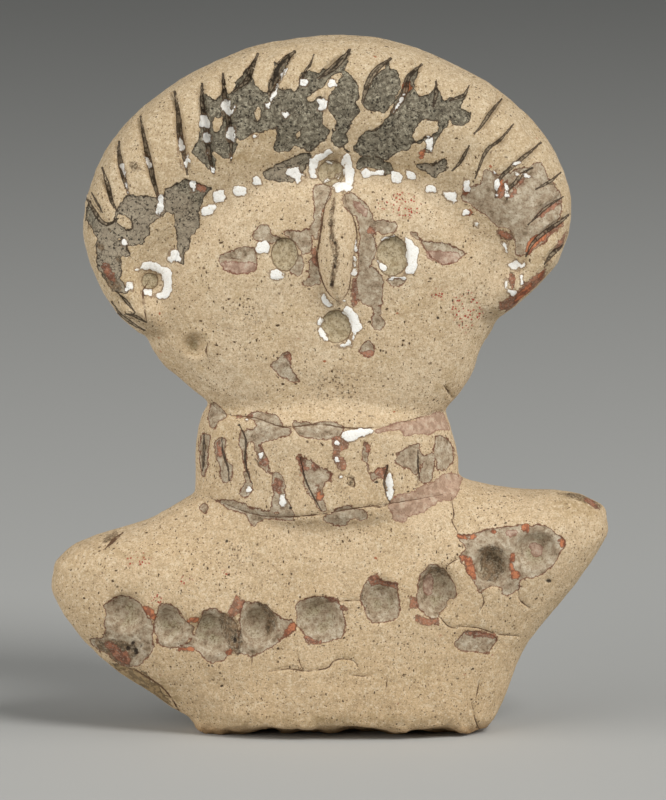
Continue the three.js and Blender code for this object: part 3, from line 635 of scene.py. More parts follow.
# Tones of the clay and of what is left on it, as linear red, green and blue.
TONES = {
    "cream": (0.69, 0.55, 0.375),
    "tan": (0.6, 0.455, 0.285),
    "warm tan": (0.62, 0.44, 0.25),
    "deep tan": (0.4, 0.285, 0.165),
    "pale slip": (0.8, 0.69, 0.51),
    "hair clay": (0.45, 0.34, 0.195),
    "ochre": (0.5, 0.36, 0.19),
    "sand": (0.25, 0.165, 0.09),
    "brown speck": (0.16, 0.1, 0.05),
    "black speck": (0.085, 0.05, 0.025),
    "red speck": (0.36, 0.13, 0.06),
    "dark red": (0.36, 0.06, 0.035),
    "faint brown": (0.36, 0.25, 0.12),
    "scar": (0.36, 0.25, 0.125),
    "dark scar": (0.13, 0.085, 0.04),
    "scar line": (0.08, 0.05, 0.025),
    "grey": (0.43, 0.36, 0.265),
    "dark grey": (0.3, 0.225, 0.155),
    "pale grey": (0.56, 0.49, 0.38),
    "grey fleck": (0.17, 0.11, 0.065),
    "grey pit": (0.1, 0.07, 0.04),
    "olive": (0.46, 0.4, 0.26),
    "dark olive": (0.2, 0.15, 0.07),
    "pink": (0.47, 0.31, 0.235),
    "dark pink": (0.3, 0.18, 0.13),
    "pale pink": (0.55, 0.43, 0.33),
    "wash line": (0.17, 0.065, 0.035),
    "pink line": (0.22, 0.09, 0.06),
    "ground": (0.25, 0.22, 0.158),
    "dark ground": (0.12, 0.1, 0.07),
    "pale ground": (0.43, 0.39, 0.29),
    "smoky ground": (0.08, 0.07, 0.05),
    "brown ground": (0.42, 0.345, 0.25),
    "ground fleck": (0.09, 0.07, 0.05),
    "ground speck": (0.02, 0.016, 0.012),
    "ground crack": (0.03, 0.022, 0.015),
    "black line": (0.05, 0.032, 0.02),
    "stain_and_hollow_shade": (0.22, 0.14, 0.075),
    "dark stain and hollow shade": (0.07, 0.05, 0.03),
    "rust": (0.38, 0.145, 0.08),
    "dark rust": (0.17, 0.065, 0.038),
    "rust fleck": (0.42, 0.34, 0.26),
    "rust line": (0.14, 0.055, 0.03),
    "red": (0.54, 0.19, 0.085),
    "deep red": (0.26, 0.085, 0.045),
    "red line": (0.16, 0.06, 0.03),
    "ring floor": (0.5, 0.42, 0.28),
    "dark ring floor": (0.33, 0.26, 0.15),
    "ring fleck": (0.16, 0.12, 0.065),
    "ring line": (0.13, 0.08, 0.04),
    "pit": (0.03, 0.02, 0.015),
    "earth": (0.36, 0.2, 0.08),
    "slash floor": (0.3, 0.24, 0.165),
    "dark slash": (0.045, 0.032, 0.02),
    "slash bottom": (0.03, 0.022, 0.015),
    "crack": (0.12, 0.065, 0.035),
    "white": (0.93, 0.915, 0.87),
    "worn white": (0.7, 0.62, 0.5),
    "white rim": (0.16, 0.09, 0.05),
    "studio floor": (0.475, 0.48, 0.47),
}

# Specks in the clay: spacing and radius in millimetres, the share left out,
# how the place is squeezed so that specks are longer one way, and the tone.
SPECKS = [
    (0.62, 0.16, 0.32, (1, 1, 1), "brown speck"),
    (1.0, 0.18, 0.45, (1, 1, 0.5), "black speck"),
    (1.4, 0.2, 0.5, (0.5, 1, 0.8), "black speck"),
    (2.1, 0.27, 0.66, (0.7, 1, 1), "black speck"),
    (2.6, 0.25, 0.72, (0.6, 1, 0.8), "red speck"),
]
BUMP_DISTANCE = 0.2

# The studio, in metres and watts: each lamp's place, size, power and colour.
LAMPS = {
    "key": ((1.0, -1.3, 1.55), 0.9, 32, (1, 0.985, 0.96)),
    "fill": ((-1.1, -1.4, 0.85), 1.3, 11.5, (1, 0.99, 0.97)),
    "left_side": ((-1.7, -0.45, 0.5), 1.2, 14, (1, 0.99, 0.97)),
    "right_side": ((1.7, -0.45, 0.7), 1.2, 12, (1, 0.99, 0.97)),
}
AIR_TONE = (0.97, 0.98, 0.95, 1)
AIR_STRENGTH = 0.11
FLOOR_HALF = 14


def ramp(value, low, high):
    share = np.clip((value - low) / (high - low), 0, 1)
    return share * share * (3 - 2 * share)


def lattice_noise(points, wavelength, seed):
    """Smooth noise between -1 and 1, on a repeating lattice of random values."""
    size = 32
    table = np.random.default_rng(seed).uniform(-1, 1, (size, size, size))
    cell = points / wavelength
    base = np.floor(cell).astype(int)
    share = cell - base
    share = share * share * (3 - 2 * share)
    total = np.zeros(len(points))
    for corner in np.ndindex(2, 2, 2):
        i, j, k = ((base + corner) % size).T
        weight = np.prod(np.where(np.array(corner, bool), share, 1 - share), axis=1)
        total += weight * table[i, j, k]
    return total


def waves(points, table):
    return sum(height * lattice_noise(points, length, seed) for height, length, seed in table)


def layered_noise(points, wavelength, seed, layers=3):
    """Noise with ever finer and lower layers."""
    total = np.zeros(len(points))
    for layer in range(layers):
        total += lattice_noise(points, wavelength / 2**layer, seed + layer) / 2**layer
    return total


def photo_places(points):
    """Where points, in millimetres, fall in the photograph, and the way to the camera."""
    rise_cos = math.cos(CAMERA_RISE)
    rise_sin = math.sin(CAMERA_RISE)
    toward = np.array([0, -rise_cos, rise_sin])
    upward = np.array([0, rise_sin, rise_cos])
    offset = points - LOOK_AT_MM
    nearness = CAMERA_DISTANCE_MM / (CAMERA_DISTANCE_MM - offset @ toward) / PIXEL_MM
    across = PHOTO_WIDTH / 2 + offset[:, 0] * nearness
    down = PHOTO_HEIGHT / 2 - offset @ upward * nearness
    return np.column_stack([across, down]), toward


def smooth_route(route, steps=4):
    """A route through the given points, bent smoothly."""
    knots = np.array([route[0], *route, route[-1]], float)
    found = []
    for a, b, c, d in zip(knots, knots[1:], knots[2:], knots[3:]):
        for step in range(steps):
            t = step / steps
            bend = (2 * a - 5 * b + 4 * c - d) * t**2 + (3 * b - a - 3 * c + d) * t**3
            found.append(0.5 * (2 * b + (c - a) * t + bend))
    return np.array([*found, knots[-1]])


def rounded_outline(outline):
    """A closed outline with each corner cut once."""
    corners = np.array(outline, float)
    following = np.roll(corners, -1, axis=0)
    pairs = np.stack([0.8 * corners + 0.2 * following, 0.2 * corners + 0.8 * following], 1)
    return pairs.reshape(-1, 2)


def in_window(places, shape, reach):
    low = shape.min(0) - reach
    high = shape.max(0) + reach
    return np.all((places > low) & (places < high), axis=1)


def segment_gap(places, start, end):
    """Distance to a segment, its share of the way along, and which side of it."""
    step = end - start
    length = np.hypot(*step)
    offset = places - start
    share = np.clip(offset @ step / length**2, 0, 1)
    gap = offset - share[:, None] * step
    side = (step[0] * offset[:, 1] - step[1] * offset[:, 0]) / length
    return np.hypot(*gap.T), share * length, side, length


def patch_depth(places, outline):
    """How deep inside an outline each place is, in pixels; outside is below nought."""
    corners = rounded_outline(outline)
    depth = np.full(len(places), -float(MARK_REACH))
    close = in_window(places, corners, MARK_REACH)
    spots = places[close]
    nearest = np.full(len(spots), 1e9)
    inside = np.zeros(len(spots), bool)
    for start, end in zip(corners, np.roll(corners, -1, axis=0)):
        gap = segment_gap(spots, start, end)[0]
        nearest = np.minimum(nearest, gap)
        crosses = (start[1] > spots[:, 1]) != (end[1] > spots[:, 1])
        rise = end[1] - start[1] if end[1] != start[1] else 1e-9
        meets = start[0] + (end[0] - start[0]) * (spots[:, 1] - start[1]) / rise
        inside ^= crosses & (spots[:, 0] < meets)
    depth[close] = np.where(inside, nearest, -nearest)
    return np.maximum(depth, -MARK_REACH)


def daub_depth(places, x, y, half_width, half_height, squareness=2):
    """How deep inside a daub each place is, in pixels; its corners fill up with squareness."""
    across = np.abs(places[:, 0] - x) / half_width
    down = np.abs(places[:, 1] - y) / half_height
    gap = (across**squareness + down**squareness) ** (1 / squareness)
    return (1 - gap) * min(half_width, half_height)


def stroke_measures(places, route, half_width, tapered=True):
    """Distance, and the signed distance across in half widths, of a tapering stroke."""
    line = smooth_route(route)
    near = np.full(len(places), 1e3)
    across = np.full(len(places), 1e3)
    half = np.full(len(places), half_width)
    close = in_window(places, line, MARK_REACH)
    spots = places[close]
    whole = sum(np.hypot(*(b - a)) for a, b in zip(line, line[1:]))
    best = np.full(len(spots), 1e3)
    side = np.zeros(len(spots))
    along = np.zeros(len(spots))
    walked = 0
    for start, end in zip(line, line[1:]):
        gap, share, turn, length = segment_gap(spots, start, end)
        closer = gap < best
        best = np.where(closer, gap, best)
        side = np.where(closer, turn, side)
        along = np.where(closer, walked + share, along)
        walked += length
    if tapered:
        swell = np.sin(np.pi * np.clip(along / whole, 0.02, 0.98))
        width = half_width * (STROKE_END + (1 - STROKE_END) * swell)
    else:
        width = np.full(len(spots), half_width)
    near[close] = best
    across[close] = side
    half[close] = width
    return near, across, half


def all_strokes(places, strokes, tapered=True):
    """For each place its nearest stroke: distance beyond the edge, distance, side, half width."""
    beyond = np.full(len(places), 1e3)
    near = np.full(len(places), 1e3)
    across = np.full(len(places), 1e3)
    half = np.ones(len(places))
    for route, half_width in strokes:
        gap, side, width = stroke_measures(places, route, half_width, tapered)
        closer = gap - width < beyond
        beyond = np.where(closer, gap - width, beyond)
        near = np.where(closer, gap, near)
        across = np.where(closer, side, across)
        half = np.where(closer, width, half)
    return beyond, near, across, half


def patch_layer(places, outlines, islands=()):
    """How deep inside any of the outlines, and outside the islands, each place is."""
    depth = np.full(len(places), -float(MARK_REACH))
    for outline in outlines:
        depth = np.maximum(depth, patch_depth(places, outline))
    for outline in islands:
        depth = np.minimum(depth, -patch_depth(places, outline))
    return depth


def daub_layer(places, daubs, squareness=2):
    depth = np.full(len(places), -float(MARK_REACH))
    for daub in daubs:
        depth = np.maximum(depth, daub_depth(places, *daub, squareness))
    return depth


def white_layer(places):
    daubs = daub_layer(places, WHITE_DAUBS, WHITE_SQUARENESS)
    patches = patch_layer(places, WHITE_PATCHES)
    beyond = all_strokes(places, WHITE_STROKES, tapered=False)[0]
    return np.maximum.reduce([daubs, patches, -beyond])


def marks(points, normals):
    """Every mark's measure at each point, in millimetres."""
    places, toward = photo_places(points)
    away = (1 - ramp(normals @ toward, FACING_LEAST, FACING_FULL)) * FACING_FADE
    ragged = waves(points, RAGGED_WAVES)
    wavy = waves(points, WAVY_WAVES)
    _, slash_near, slash_side, slash_half = all_strokes(places, HAIR_SLASHES + BAND_SLASHES)
    _, crack_near, crack_side, crack_half = all_strokes(places, CRACKS)
    found = {
        "white": white_layer(places) + WHITE_RAGGEDNESS * ragged - away,
        "slash_near": slash_near + away,
        "slash_side": slash_side,
        "slash_half": slash_half + SLASH_RAGGEDNESS * ragged,
        "crack_near": crack_near + away,
        "crack_side": crack_side,
        "crack_half": crack_half,
    }
    for name, (outlines, islands, raggedness, waviness) in OUTLINED_MARKS.items():
        edge = raggedness * ragged + waviness * wavy
        found[name] = patch_layer(places, outlines, islands) + edge - away
    for name, (daubs, raggedness, waviness) in DAUBED_MARKS.items():
        edge = raggedness * ragged + waviness * wavy
        found[name] = daub_layer(places, daubs) + edge - away
    return {name: value * PIXEL_MM for name, value in found.items()}


def skin_mesh():
    """The solid bust as an even, fine mesh in millimetres."""
    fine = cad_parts["bust"].data.copy()
    fine.transform(Matrix.Scale(1 / MM, 4))
    welded = bmesh.new()
    welded.from_mesh(fine)
    bmesh.ops.remove_doubles(welded, verts=welded.verts, dist=1e-3)
    welded.to_mesh(fine)
    welded.free()
    blank = bpy.data.objects.new("clay_blank", fine)
    bpy.context.scene.collection.objects.link(blank)
    remesh = blank.modifiers.new("skin", "REMESH")
    remesh.mode = "VOXEL"
    remesh.voxel_size = SKIN_VOXEL
    skin = applied(blank)
    bpy.data.objects.remove(blank)
    return skin


def applied(thing):
    bpy.context.view_layer.update()
    seen = bpy.context.evaluated_depsgraph_get()
    return bpy.data.meshes.new_from_object(thing.evaluated_get(seen))


def points_of(mesh):
    flat = np.empty(len(mesh.vertices) * 3)
    mesh.vertices.foreach_get("co", flat)
    return flat.reshape(-1, 3)


def normals_of(mesh):
    flat = np.empty(len(mesh.vertices) * 3, np.float32)
    mesh.vertex_normals.foreach_get("vector", flat)
    return flat.reshape(-1, 3).astype(float)


def place_points(mesh, points):
    mesh.vertices.foreach_set("co", points.ravel())
    mesh.update()


def eased(points, edges, strength):
    """Points moved towards the middle of their neighbours, over and over."""
    count = np.bincount(edges.ravel(), minlength=len(points))
    first, second = edges.T
    for _ in range(EASE_ROUNDS):
        middle = np.empty_like(points)
        for axis in range(3):
            middle[:, axis] = np.bincount(first, points[second, axis], len(points))
            middle[:, axis] += np.bincount(second, points[first, axis], len(points))
        points = points + strength[:, None] * (middle / count[:, None] - points)
    return points


def ease_strength(places, facing):
    """Less easing at slashes, stamps and the nose, whose edges stay crisp."""
    beyond = all_strokes(places, HAIR_SLASHES + BAND_SLASHES)[0]
    near_slash = 1 - ramp(beyond, *CRISP_BESIDE_SLASH)
    near_stamp = ramp(daub_layer(places, STAMPS), *CRISP_BESIDE_RING)
    near_nose = ramp(patch_depth(places, NOSE), *CRISP_BESIDE_NOSE)
    crisp = np.maximum.reduce([near_slash, near_stamp, near_nose]) * (facing > 0)
    return EASE_FULL + (EASE_CRISP - EASE_FULL) * crisp


def relief(points, normals):
    """How far each point stands out of the smooth skin, in millimetres."""
    found = marks(points, normals)
    step = {name: ramp(found[name], *edges) for name, edges in STEPS.items()}
    grain = layered_noise(points, *GRAIN_NOISE)

    slash_share = found["slash_near"] / (found["slash_half"] + SLASH_SKIRT)
    crack_share = found["crack_near"] / (found["crack_half"] + CRACK_SKIRT)
    raised = -SLASH_DEPTH * np.clip(1 - slash_share, 0, 1) * ramp(found["slash_half"], 0.1, 0.5)
    raised += SLASH_LIP * np.exp(-(((slash_share - SLASH_LIP_PLACE) / SLASH_LIP_SPREAD) ** 2))
    raised -= CRACK_DEPTH * np.clip(1 - crack_share, 0, 1)

    wash_alone = step["wash"] * (1 - step["hair_loss"])
    raised -= step["hair_loss"] * (PAINT_LOSS_DEPTH - LOSS_GRAIN * grain)
    raised -= wash_alone * (SLIP_LOSS_DEPTH - WASH_GRAIN * grain)
    raised -= step["scar"] * (SLIP_LOSS_DEPTH + SCAR_GRAIN * grain)
    raised += step["white"] * DAUB_HEIGHT

    rim = (found["hollow"] - HOLLOW_RIM_PLACE) / HOLLOW_RIM_SPREAD
    raised -= step["hollow"] * HOLLOW_DEPTH - HOLLOW_RIM * np.exp(-(rim**2))
    raised -= step["pressed"] * STAMP_DEPTH
    raised -= step["pits"] * PIT_DEPTH
    pocks = np.clip(layered_noise(points, *POCK_NOISE), 0, 1)
    raised -= step["dark_specks"] * SPECKLE_DEPTH * pocks

    raised += HAND_UNEVENNESS * layered_noise(points, *HAND_NOISE)
    raised += THUMB_UNEVENNESS * layered_noise(points, *THUMB_NOISE) + GRAIN * grain
    low = 1 - ramp(points[:, 2], BASE_WEAR_LOW, BASE_WEAR_HIGH)
    raised -= BASE_WEAR * low * (BREAK_NOISE_MIDDLE + layered_noise(points, *BREAK_NOISE))
    return raised


def broken_edge(points):
    """The points, with the lower front edge lifted off the floor where it is broken."""
    places, _ = photo_places(points)
    lift = np.interp(places[:, 0], EDGE_ACROSS, EDGE_LIFT)
    lift *= ramp(-points[:, 1], EDGE_BACK_MM, EDGE_FRONT_MM)
    share = np.clip(1 - points[:, 2] / EDGE_REACH, 0, 1)
    lifted = points.copy()
    lifted[:, 2] += lift * share**2
    return lifted


def kept_in_box(points):
    """The points, held just inside the box of the solid bust."""
    low = np.array(cad_low) / MM + BOX_MARGIN
    high = np.array(cad_high) / MM - BOX_MARGIN
    return np.clip(points, low, high)


def thinned(mesh, points, normals):
    """The mesh with fewer triangles, most of them kept on the front and in the hair."""
    places, toward = photo_places(points)
    front = ramp(normals @ toward, -0.1, 0.4)
    painted = ramp(patch_layer(places, HAIR_LOSSES), -8, 0)
    care = front * (FRONT_CARE + HAIR_CARE * painted)
    thing = bpy.data.objects.new("clay_skin", mesh)
    bpy.context.scene.collection.objects.link(thing)
    group = thing.vertex_groups.new(name="give_way")
    for level in range(CARE_LEVELS + 1):
        members = np.flatnonzero(np.round(care * CARE_LEVELS) == level)
        group.add(members.tolist(), 1 - level / CARE_LEVELS, "REPLACE")
    fewer = thing.modifiers.new("fewer", "DECIMATE")
    fewer.decimate_type = "COLLAPSE"
    fewer.vertex_group = group.name
    fewer.vertex_group_factor = CARE_FACTOR
    triangles = sum(len(face.vertices) - 2 for face in mesh.polygons)
    fewer.ratio = SKIN_TRIANGLES / triangles
    result = applied(thing)
    bpy.data.objects.remove(thing)
    return result


def painted_bust():
    mesh = skin_mesh()
    edges = np.empty(len(mesh.edges) * 2, np.int32)
    mesh.edges.foreach_get("vertices", edges)
    edges = edges.reshape(-1, 2)
    points = points_of(mesh)
    places, toward = photo_places(points)
    points = eased(points, edges, ease_strength(places, normals_of(mesh) @ toward))
    place_points(mesh, points)
    normals = normals_of(mesh)
    points = broken_edge(points + relief(points, normals)[:, None] * normals)
    points = kept_in_box(points)
    place_points(mesh, points)
    mesh = thinned(mesh, points, normals)
    place_points(mesh, kept_in_box(points_of(mesh)))
    mesh.polygons.foreach_set("use_smooth", np.ones(len(mesh.polygons), bool))
    for name, value in marks(points_of(mesh), normals_of(mesh)).items():
        layer = mesh.attributes.new(name, "FLOAT", "POINT")
        layer.data.foreach_set("value", value.astype(np.float32))
    place_points(mesh, points_of(mesh) * MM)
    mesh.name = "painted_bust"
    mesh.materials.clear()
    bust = bpy.data.objects.new("painted_bust", mesh)
    bpy.context.scene.collection.objects.link(bust)
    return bust


class Painter:
    """Adds nodes to a material and joins them. A tone may be given by its name in TONES."""

    def __init__(self, name):
        self.material = bpy.data.materials.new(name)
        self.material.use_nodes = True
        self.tree = self.material.node_tree
        self.tree.nodes.clear()

    def node(self, kind, inputs=(), **settings):
        made = self.tree.nodes.new(kind)
        for name, value in settings.items():
            setattr(made, name, value)
        for name, value in dict(inputs).items():
            self.join(value, made.inputs[name])
        return made

    def join(self, value, socket):
        if isinstance(value, bpy.types.NodeSocket):
            self.tree.links.new(value, socket)
        elif isinstance(value, str):
            socket.default_value = (*TONES[value], 1)
        else:
            socket.default_value = value

    def maths(self, operation, first, second=0.0):
        inputs = {0: first, 1: second}
        return self.node("ShaderNodeMath", inputs, operation=operation).outputs[0]

    def vector(self, operation, inputs):
        return self.node("ShaderNodeVectorMath", inputs, operation=operation).outputs["Vector"]

    def mark(self, name):
        return self.node("ShaderNodeAttribute", attribute_name=name).outputs["Fac"]

    def fade(self, value, low, high):
        """Nought at low, one at high, and held beyond them."""
        inputs = {"Value": value, "From Min": low, "From Max": high}
        return self.node("ShaderNodeMapRange", inputs).outputs[0]

    def noise(self, place, wavelength, detail=3.0, roughness=0.55):
        inputs = {
            "Vector": place,
            "Scale": 1 / wavelength,
            "Detail": detail,
            "Roughness": roughness,
        }
        return self.node("ShaderNodeTexNoise", inputs).outputs[0]

    def speck(self, place, spacing):
        """Distance to the nearest of many scattered points, and a random value for each."""
        inputs = {"Vector": place, "Scale": 1 / spacing, "Randomness": 1.0}
        cells = self.node("ShaderNodeTexVoronoi", inputs, feature="F1")
        split = self.node("ShaderNodeSeparateColor", {"Color": cells.outputs["Color"]})
        distance = self.maths("MULTIPLY", cells.outputs["Distance"], spacing)
        return distance, split.outputs["Red"]

    def over(self, below, share, above, strength=1.0):
        """One tone with a share of another laid over it."""
        made = self.node("ShaderNodeMix", data_type="RGBA")
        self.join(self.maths("MULTIPLY", share, strength), made.inputs[0])
        self.join(below, made.inputs[6])
        self.join(above, made.inputs[7])
        return made.outputs[2]

    def surface(self, inputs):
        """Ends the material with a rough, dull surface."""
        shader = self.node("ShaderNodeBsdfPrincipled", inputs)
        self.node("ShaderNodeOutputMaterial", {"Surface": shader.outputs[0]})
        return self.material


class ClayPainter(Painter):
    """Lays coats of colour over clay, each over all before it. Lengths are in millimetres."""

    def __init__(self, name):
        super().__init__(name)
        spot = self.node("ShaderNodeTexCoord").outputs["Object"]
        self.place = self.vector("SCALE", {0: spot, "Scale": 1 / MM})
        self.elevation = self.node("ShaderNodeSeparateXYZ", {0: self.place}).outputs["Z"]
        self.middle = self.noise(self.place, 2.6, 3)
        self.mottle = self.noise(self.place, 0.85, 3)
        self.fine = self.noise(self.place, 0.34, 2)
        self.bent = self.bent_place()
        self.crust = self.noise(self.bent, 1.3, 4, 0.65)
        uneven = self.maths("SUBTRACT", self.noise(self.place, 0.55, 4, 0.65), 0.5)
        self.ragged = self.maths("MULTIPLY", uneven, 0.6)
        self.colour = "cream"

    def bent_place(self):
        """The place shifted to and fro, so that round specks turn irregular."""
        inputs = {"Vector": self.place, "Scale": 1.6, "Detail": 2}
        bend = self.node("ShaderNodeTexNoise", inputs).outputs["Color"]
        bent_by = self.vector("SCALE", {0: bend, "Scale": 0.55})
        return self.vector("ADD", {0: self.place, 1: bent_by})

    def coat(self, share, tone, strength=1.0):
        self.colour = self.over(self.colour, share, tone, strength)

    def edged(self, name, raggedness):
        """A mark's measure with a ragged edge."""
        shift = self.maths("MULTIPLY", self.ragged, raggedness)
        return self.maths("ADD", self.mark(name), shift)

    def outline(self, measure, tone, strength):
        """A thin line where a mark's measure passes nought."""
        self.coat(self.fade(self.maths("ABSOLUTE", measure), 0.15, 0.05), tone, strength)

    def fissure(self, name, widened):
        """How far inside a line a place is, or below nought beside it."""
        wander = self.maths("MULTIPLY", self.ragged, 0.7)
        side = self.maths("ABSOLUTE", self.maths("ADD", self.mark(name + "_side"), wander))
        half = self.maths("ADD", self.mark(name + "_half"), widened)
        past_end = self.fade(self.mark(name + "_near"), 0.6, 0.9)
        return self.maths("SUBTRACT", self.maths("SUBTRACT", half, side), past_end)


def lay_clay(p):
    """Cream slip and tan clay, browner in the hair, mottled at every size down to sand."""
    p.coat(p.fade(p.noise(p.place, 14, 2), 0.35, 0.65), "tan")
    p.coat(p.fade(p.elevation, 80, -20), "warm tan")
    p.coat(p.fade(p.mark("hair_clay"), -1.2, 1.5), "hair clay", 0.42)
    p.coat(p.fade(p.noise(p.place, 5, 4), 0.56, 0.72), "ochre", 0.5)
    p.coat(p.fade(p.middle, 0.5, 0.8), "deep tan", 0.55)
    p.coat(p.fade(p.mottle, 0.5, 0.72), "deep tan", 0.6)
    p.coat(p.fade(p.mottle, 0.47, 0.3), "pale slip", 0.5)
    p.coat(p.fade(p.fine, 0.52, 0.74), "deep tan", 0.7)
    p.coat(p.fade(p.fine, 0.48, 0.28), "pale slip", 0.6)
    p.coat(p.fade(p.noise(p.place, 0.2, 1), 0.57, 0.72), "sand", 0.65)


def lay_specks(p):
    """Specks all over, and crowds of dark and of red ones in their places."""
    crowd = p.maths("ADD", p.fade(p.noise(p.place, 6, 2), 0.32, 0.58), 0.3)
    for spacing, radius, left_out, squeeze, tone in SPECKS:
        squeezed = p.vector("MULTIPLY", {0: p.bent, 1: squeeze})
        distance, chance = p.speck(squeezed, spacing)
        inside = p.maths("MULTIPLY", p.fade(distance, radius, 0.55 * radius), crowd)
        p.coat(inside, tone, p.fade(chance, left_out, left_out + 0.05))
    distance, chance = p.speck(p.bent, 0.55)
    dense = p.maths("MULTIPLY", p.fade(distance, 0.25, 0.15), p.fade(chance, 0.36, 0.42))
    p.coat(dense, "dark red", p.fade(p.mark("red_specks"), 0, 0.5))
    near_chin = p.fade(p.mark("dark_specks"), 0, 2.5)
    p.coat(p.maths("MULTIPLY", dense, near_chin), "black speck", 0.85)


def lay_scars(p):
    """Faint soft stains, painted shade low in the hair, and rough ochre scars with a dark outline.
    """
    # The faint coat also paints shade on the lower slope of the hair.
    faint = p.maths("MULTIPLY", p.fade(p.mark("faint"), -0.4, 1.6), p.fade(p.crust, 0.4, 0.6))
    p.coat(faint, "faint brown", 0.7)
    scar = p.edged("scar", 2)
    tone = p.over("dark scar", p.fade(p.crust, 0.45, 0.55), "scar")
    p.coat(p.fade(scar, -0.03, 0.1), tone, 0.8)
    p.outline(scar, "scar line", 0.85)


def lay_washes(p):
    """Grey and pink remains of a wash, and olive crusts in the hollows."""
    wash = p.edged("wash", 1.6)
    wash_share = p.fade(wash, -0.03, 0.06)
    grey = p.over("dark grey", p.fade(p.crust, 0.44, 0.53), "grey")
    grey = p.over(grey, p.fade(p.crust, 0.56, 0.62), "pale grey")
    grey = p.over(grey, p.fade(p.fine, 0.55, 0.68), "grey fleck", 0.75)
    grey = p.over(grey, p.fade(p.crust, 0.41, 0.36), "grey pit", 0.8)
    p.coat(wash_share, grey, 0.82)

    hollow = p.fade(p.edged("hollow", 3), 0.1, 2.6)
    olive = p.over("olive", p.fade(p.fine, 0.45, 0.6), "dark olive")
    p.coat(p.maths("MULTIPLY", hollow, p.fade(p.middle, 0.47, 0.6)), olive, 0.7)

    pink = p.edged("pink", 1.8)
    pink_tone = p.over("dark pink", p.fade(p.crust, 0.44, 0.52), "pink")
    pink_tone = p.over(pink_tone, p.fade(p.crust, 0.56, 0.62), "pale pink")
    p.coat(p.fade(pink, -0.03, 0.08), pink_tone, 0.75)
    p.outline(wash, "wash line", 0.9)
    p.outline(pink, "pink line", 0.7)
    return wash_share


def lay_hair_ground(p):
    """The speckled dark grey ground where the paint of the hair is lost."""
    loss = p.edged("hair_loss", 1.2)
    loss_share = p.fade(loss, -0.03, 0.08)
    crumb = p.noise(p.bent, 0.75, 4, 0.7)
    ground = p.over("dark ground", p.fade(crumb, 0.4, 0.5), "ground")
    ground = p.over(ground, p.fade(crumb, 0.54, 0.64), "pale ground")
    ground = p.over(ground, p.fade(p.crust, 0.48, 0.4), "smoky ground", 0.5)
    ground = p.over(ground, p.fade(p.mark("pale_ground"), -1, 2), "brown ground", 0.6)
    ground = p.over(ground, p.fade(p.fine, 0.52, 0.7), "ground fleck", 0.6)
    distance, chance = p.speck(p.bent, 0.75)
    specks = p.maths("MULTIPLY", p.fade(distance, 0.26, 0.14), p.fade(chance, 0.4, 0.5))
    ground = p.over(ground, specks, "ground speck", 0.85)
    fold = p.maths("ABSOLUTE", p.maths("SUBTRACT", p.noise(p.bent, 1.8, 2), 0.5))
    ground = p.over(ground, p.fade(fold, 0.02, 0.006), "ground crack", 0.8)
    p.coat(loss_share, ground)
    p.outline(loss, "black line", 0.92)
    return loss_share, specks


def lay_stains_and_hollow_shade(p):
    """Dark stains, painted shade at finger hollow edges, and the remains of red paint."""
    # The stain coat also paints shade into crescents at the edges of finger hollows.
    stain_and_hollow_shade = p.maths("MULTIPLY", p.fade(p.edged("stain_and_hollow_shade", 2), -0.05, 0.3), p.fade(p.fine, 0.2, 0.55))
    p.coat(stain_and_hollow_shade, p.over("stain_and_hollow_shade", p.fade(p.mottle, 0.4, 0.6), "dark stain and hollow shade"), 0.85)
    rust = p.edged("rust", 2.2)
    rust_tone = p.over("dark rust", p.fade(p.crust, 0.47, 0.56), "rust")
    rust_tone = p.over(rust_tone, p.fade(p.fine, 0.54, 0.66), "rust fleck", 0.7)
    p.coat(p.fade(rust, -0.02, 0.07), rust_tone, 0.85)
    p.outline(rust, "rust line", 0.6)
    red = p.edged("red", 2)
    p.coat(p.fade(red, -0.02, 0.07), p.over("deep red", p.fade(p.crust, 0.45, 0.53), "red"), 0.92)
    p.outline(red, "red line", 0.7)


def lay_rings(p):
    """The floors of the pressed rings."""
    pressed = p.edged("pressed", 0.6)
    floor = p.over("ring floor", p.fade(p.mottle, 0.46, 0.6), "dark ring floor")
    floor = p.over(floor, p.fade(p.fine, 0.53, 0.65), "ring fleck", 0.8)
    p.coat(p.fade(pressed, -0.05, 0.15), floor, 0.85)
    p.outline(pressed, "ring line", 0.75)


def lay_wear(p):
    """Black pits, and earth along the break that the bust stands on."""
    p.coat(p.fade(p.edged("pits", 0.3), -0.06, 0.1), "pit", 0.9)
    uneven = p.maths("MULTIPLY", p.maths("SUBTRACT", p.mottle, 0.5), 4)
    p.coat(p.fade(p.maths("ADD", p.elevation, uneven), 2.6, 0.6), "earth", 0.7)


def lay_lines(p):
    """Slashes, darkest at the bottom, and cracks that come and go."""
    slash = p.fissure("slash", -0.03)
    tone = p.over("slash floor", p.fade(p.mottle, 0.44, 0.56), "dark slash")
    tone = p.over(tone, p.fade(slash, 0.28, 0.5), "slash bottom")
    p.coat(p.fade(slash, -0.02, 0.08), tone, 0.9)
    p.outline(slash, "black line", 0.92)
    crack = p.fissure("crack", 0.0)
    broken = p.maths("ADD", p.fade(p.noise(p.place, 3, 2), 0.36, 0.48), 0.15)
    p.coat(p.maths("MULTIPLY", p.fade(crack, -0.04, 0.06), broken), "crack", 0.85)


def lay_white(p):
    """White paint with a dark rim."""
    white = p.edged("white", 1.3)
    rim = p.maths("ABSOLUTE", p.maths("ADD", white, 0.1))
    p.coat(p.fade(rim, 0.16, 0.04), "white rim", 0.6)
    p.coat(p.fade(white, 0, 0.1), p.over("white", p.fade(p.fine, 0.54, 0.8), "worn white"))
    return p.fade(white, -0.05, 0.1)


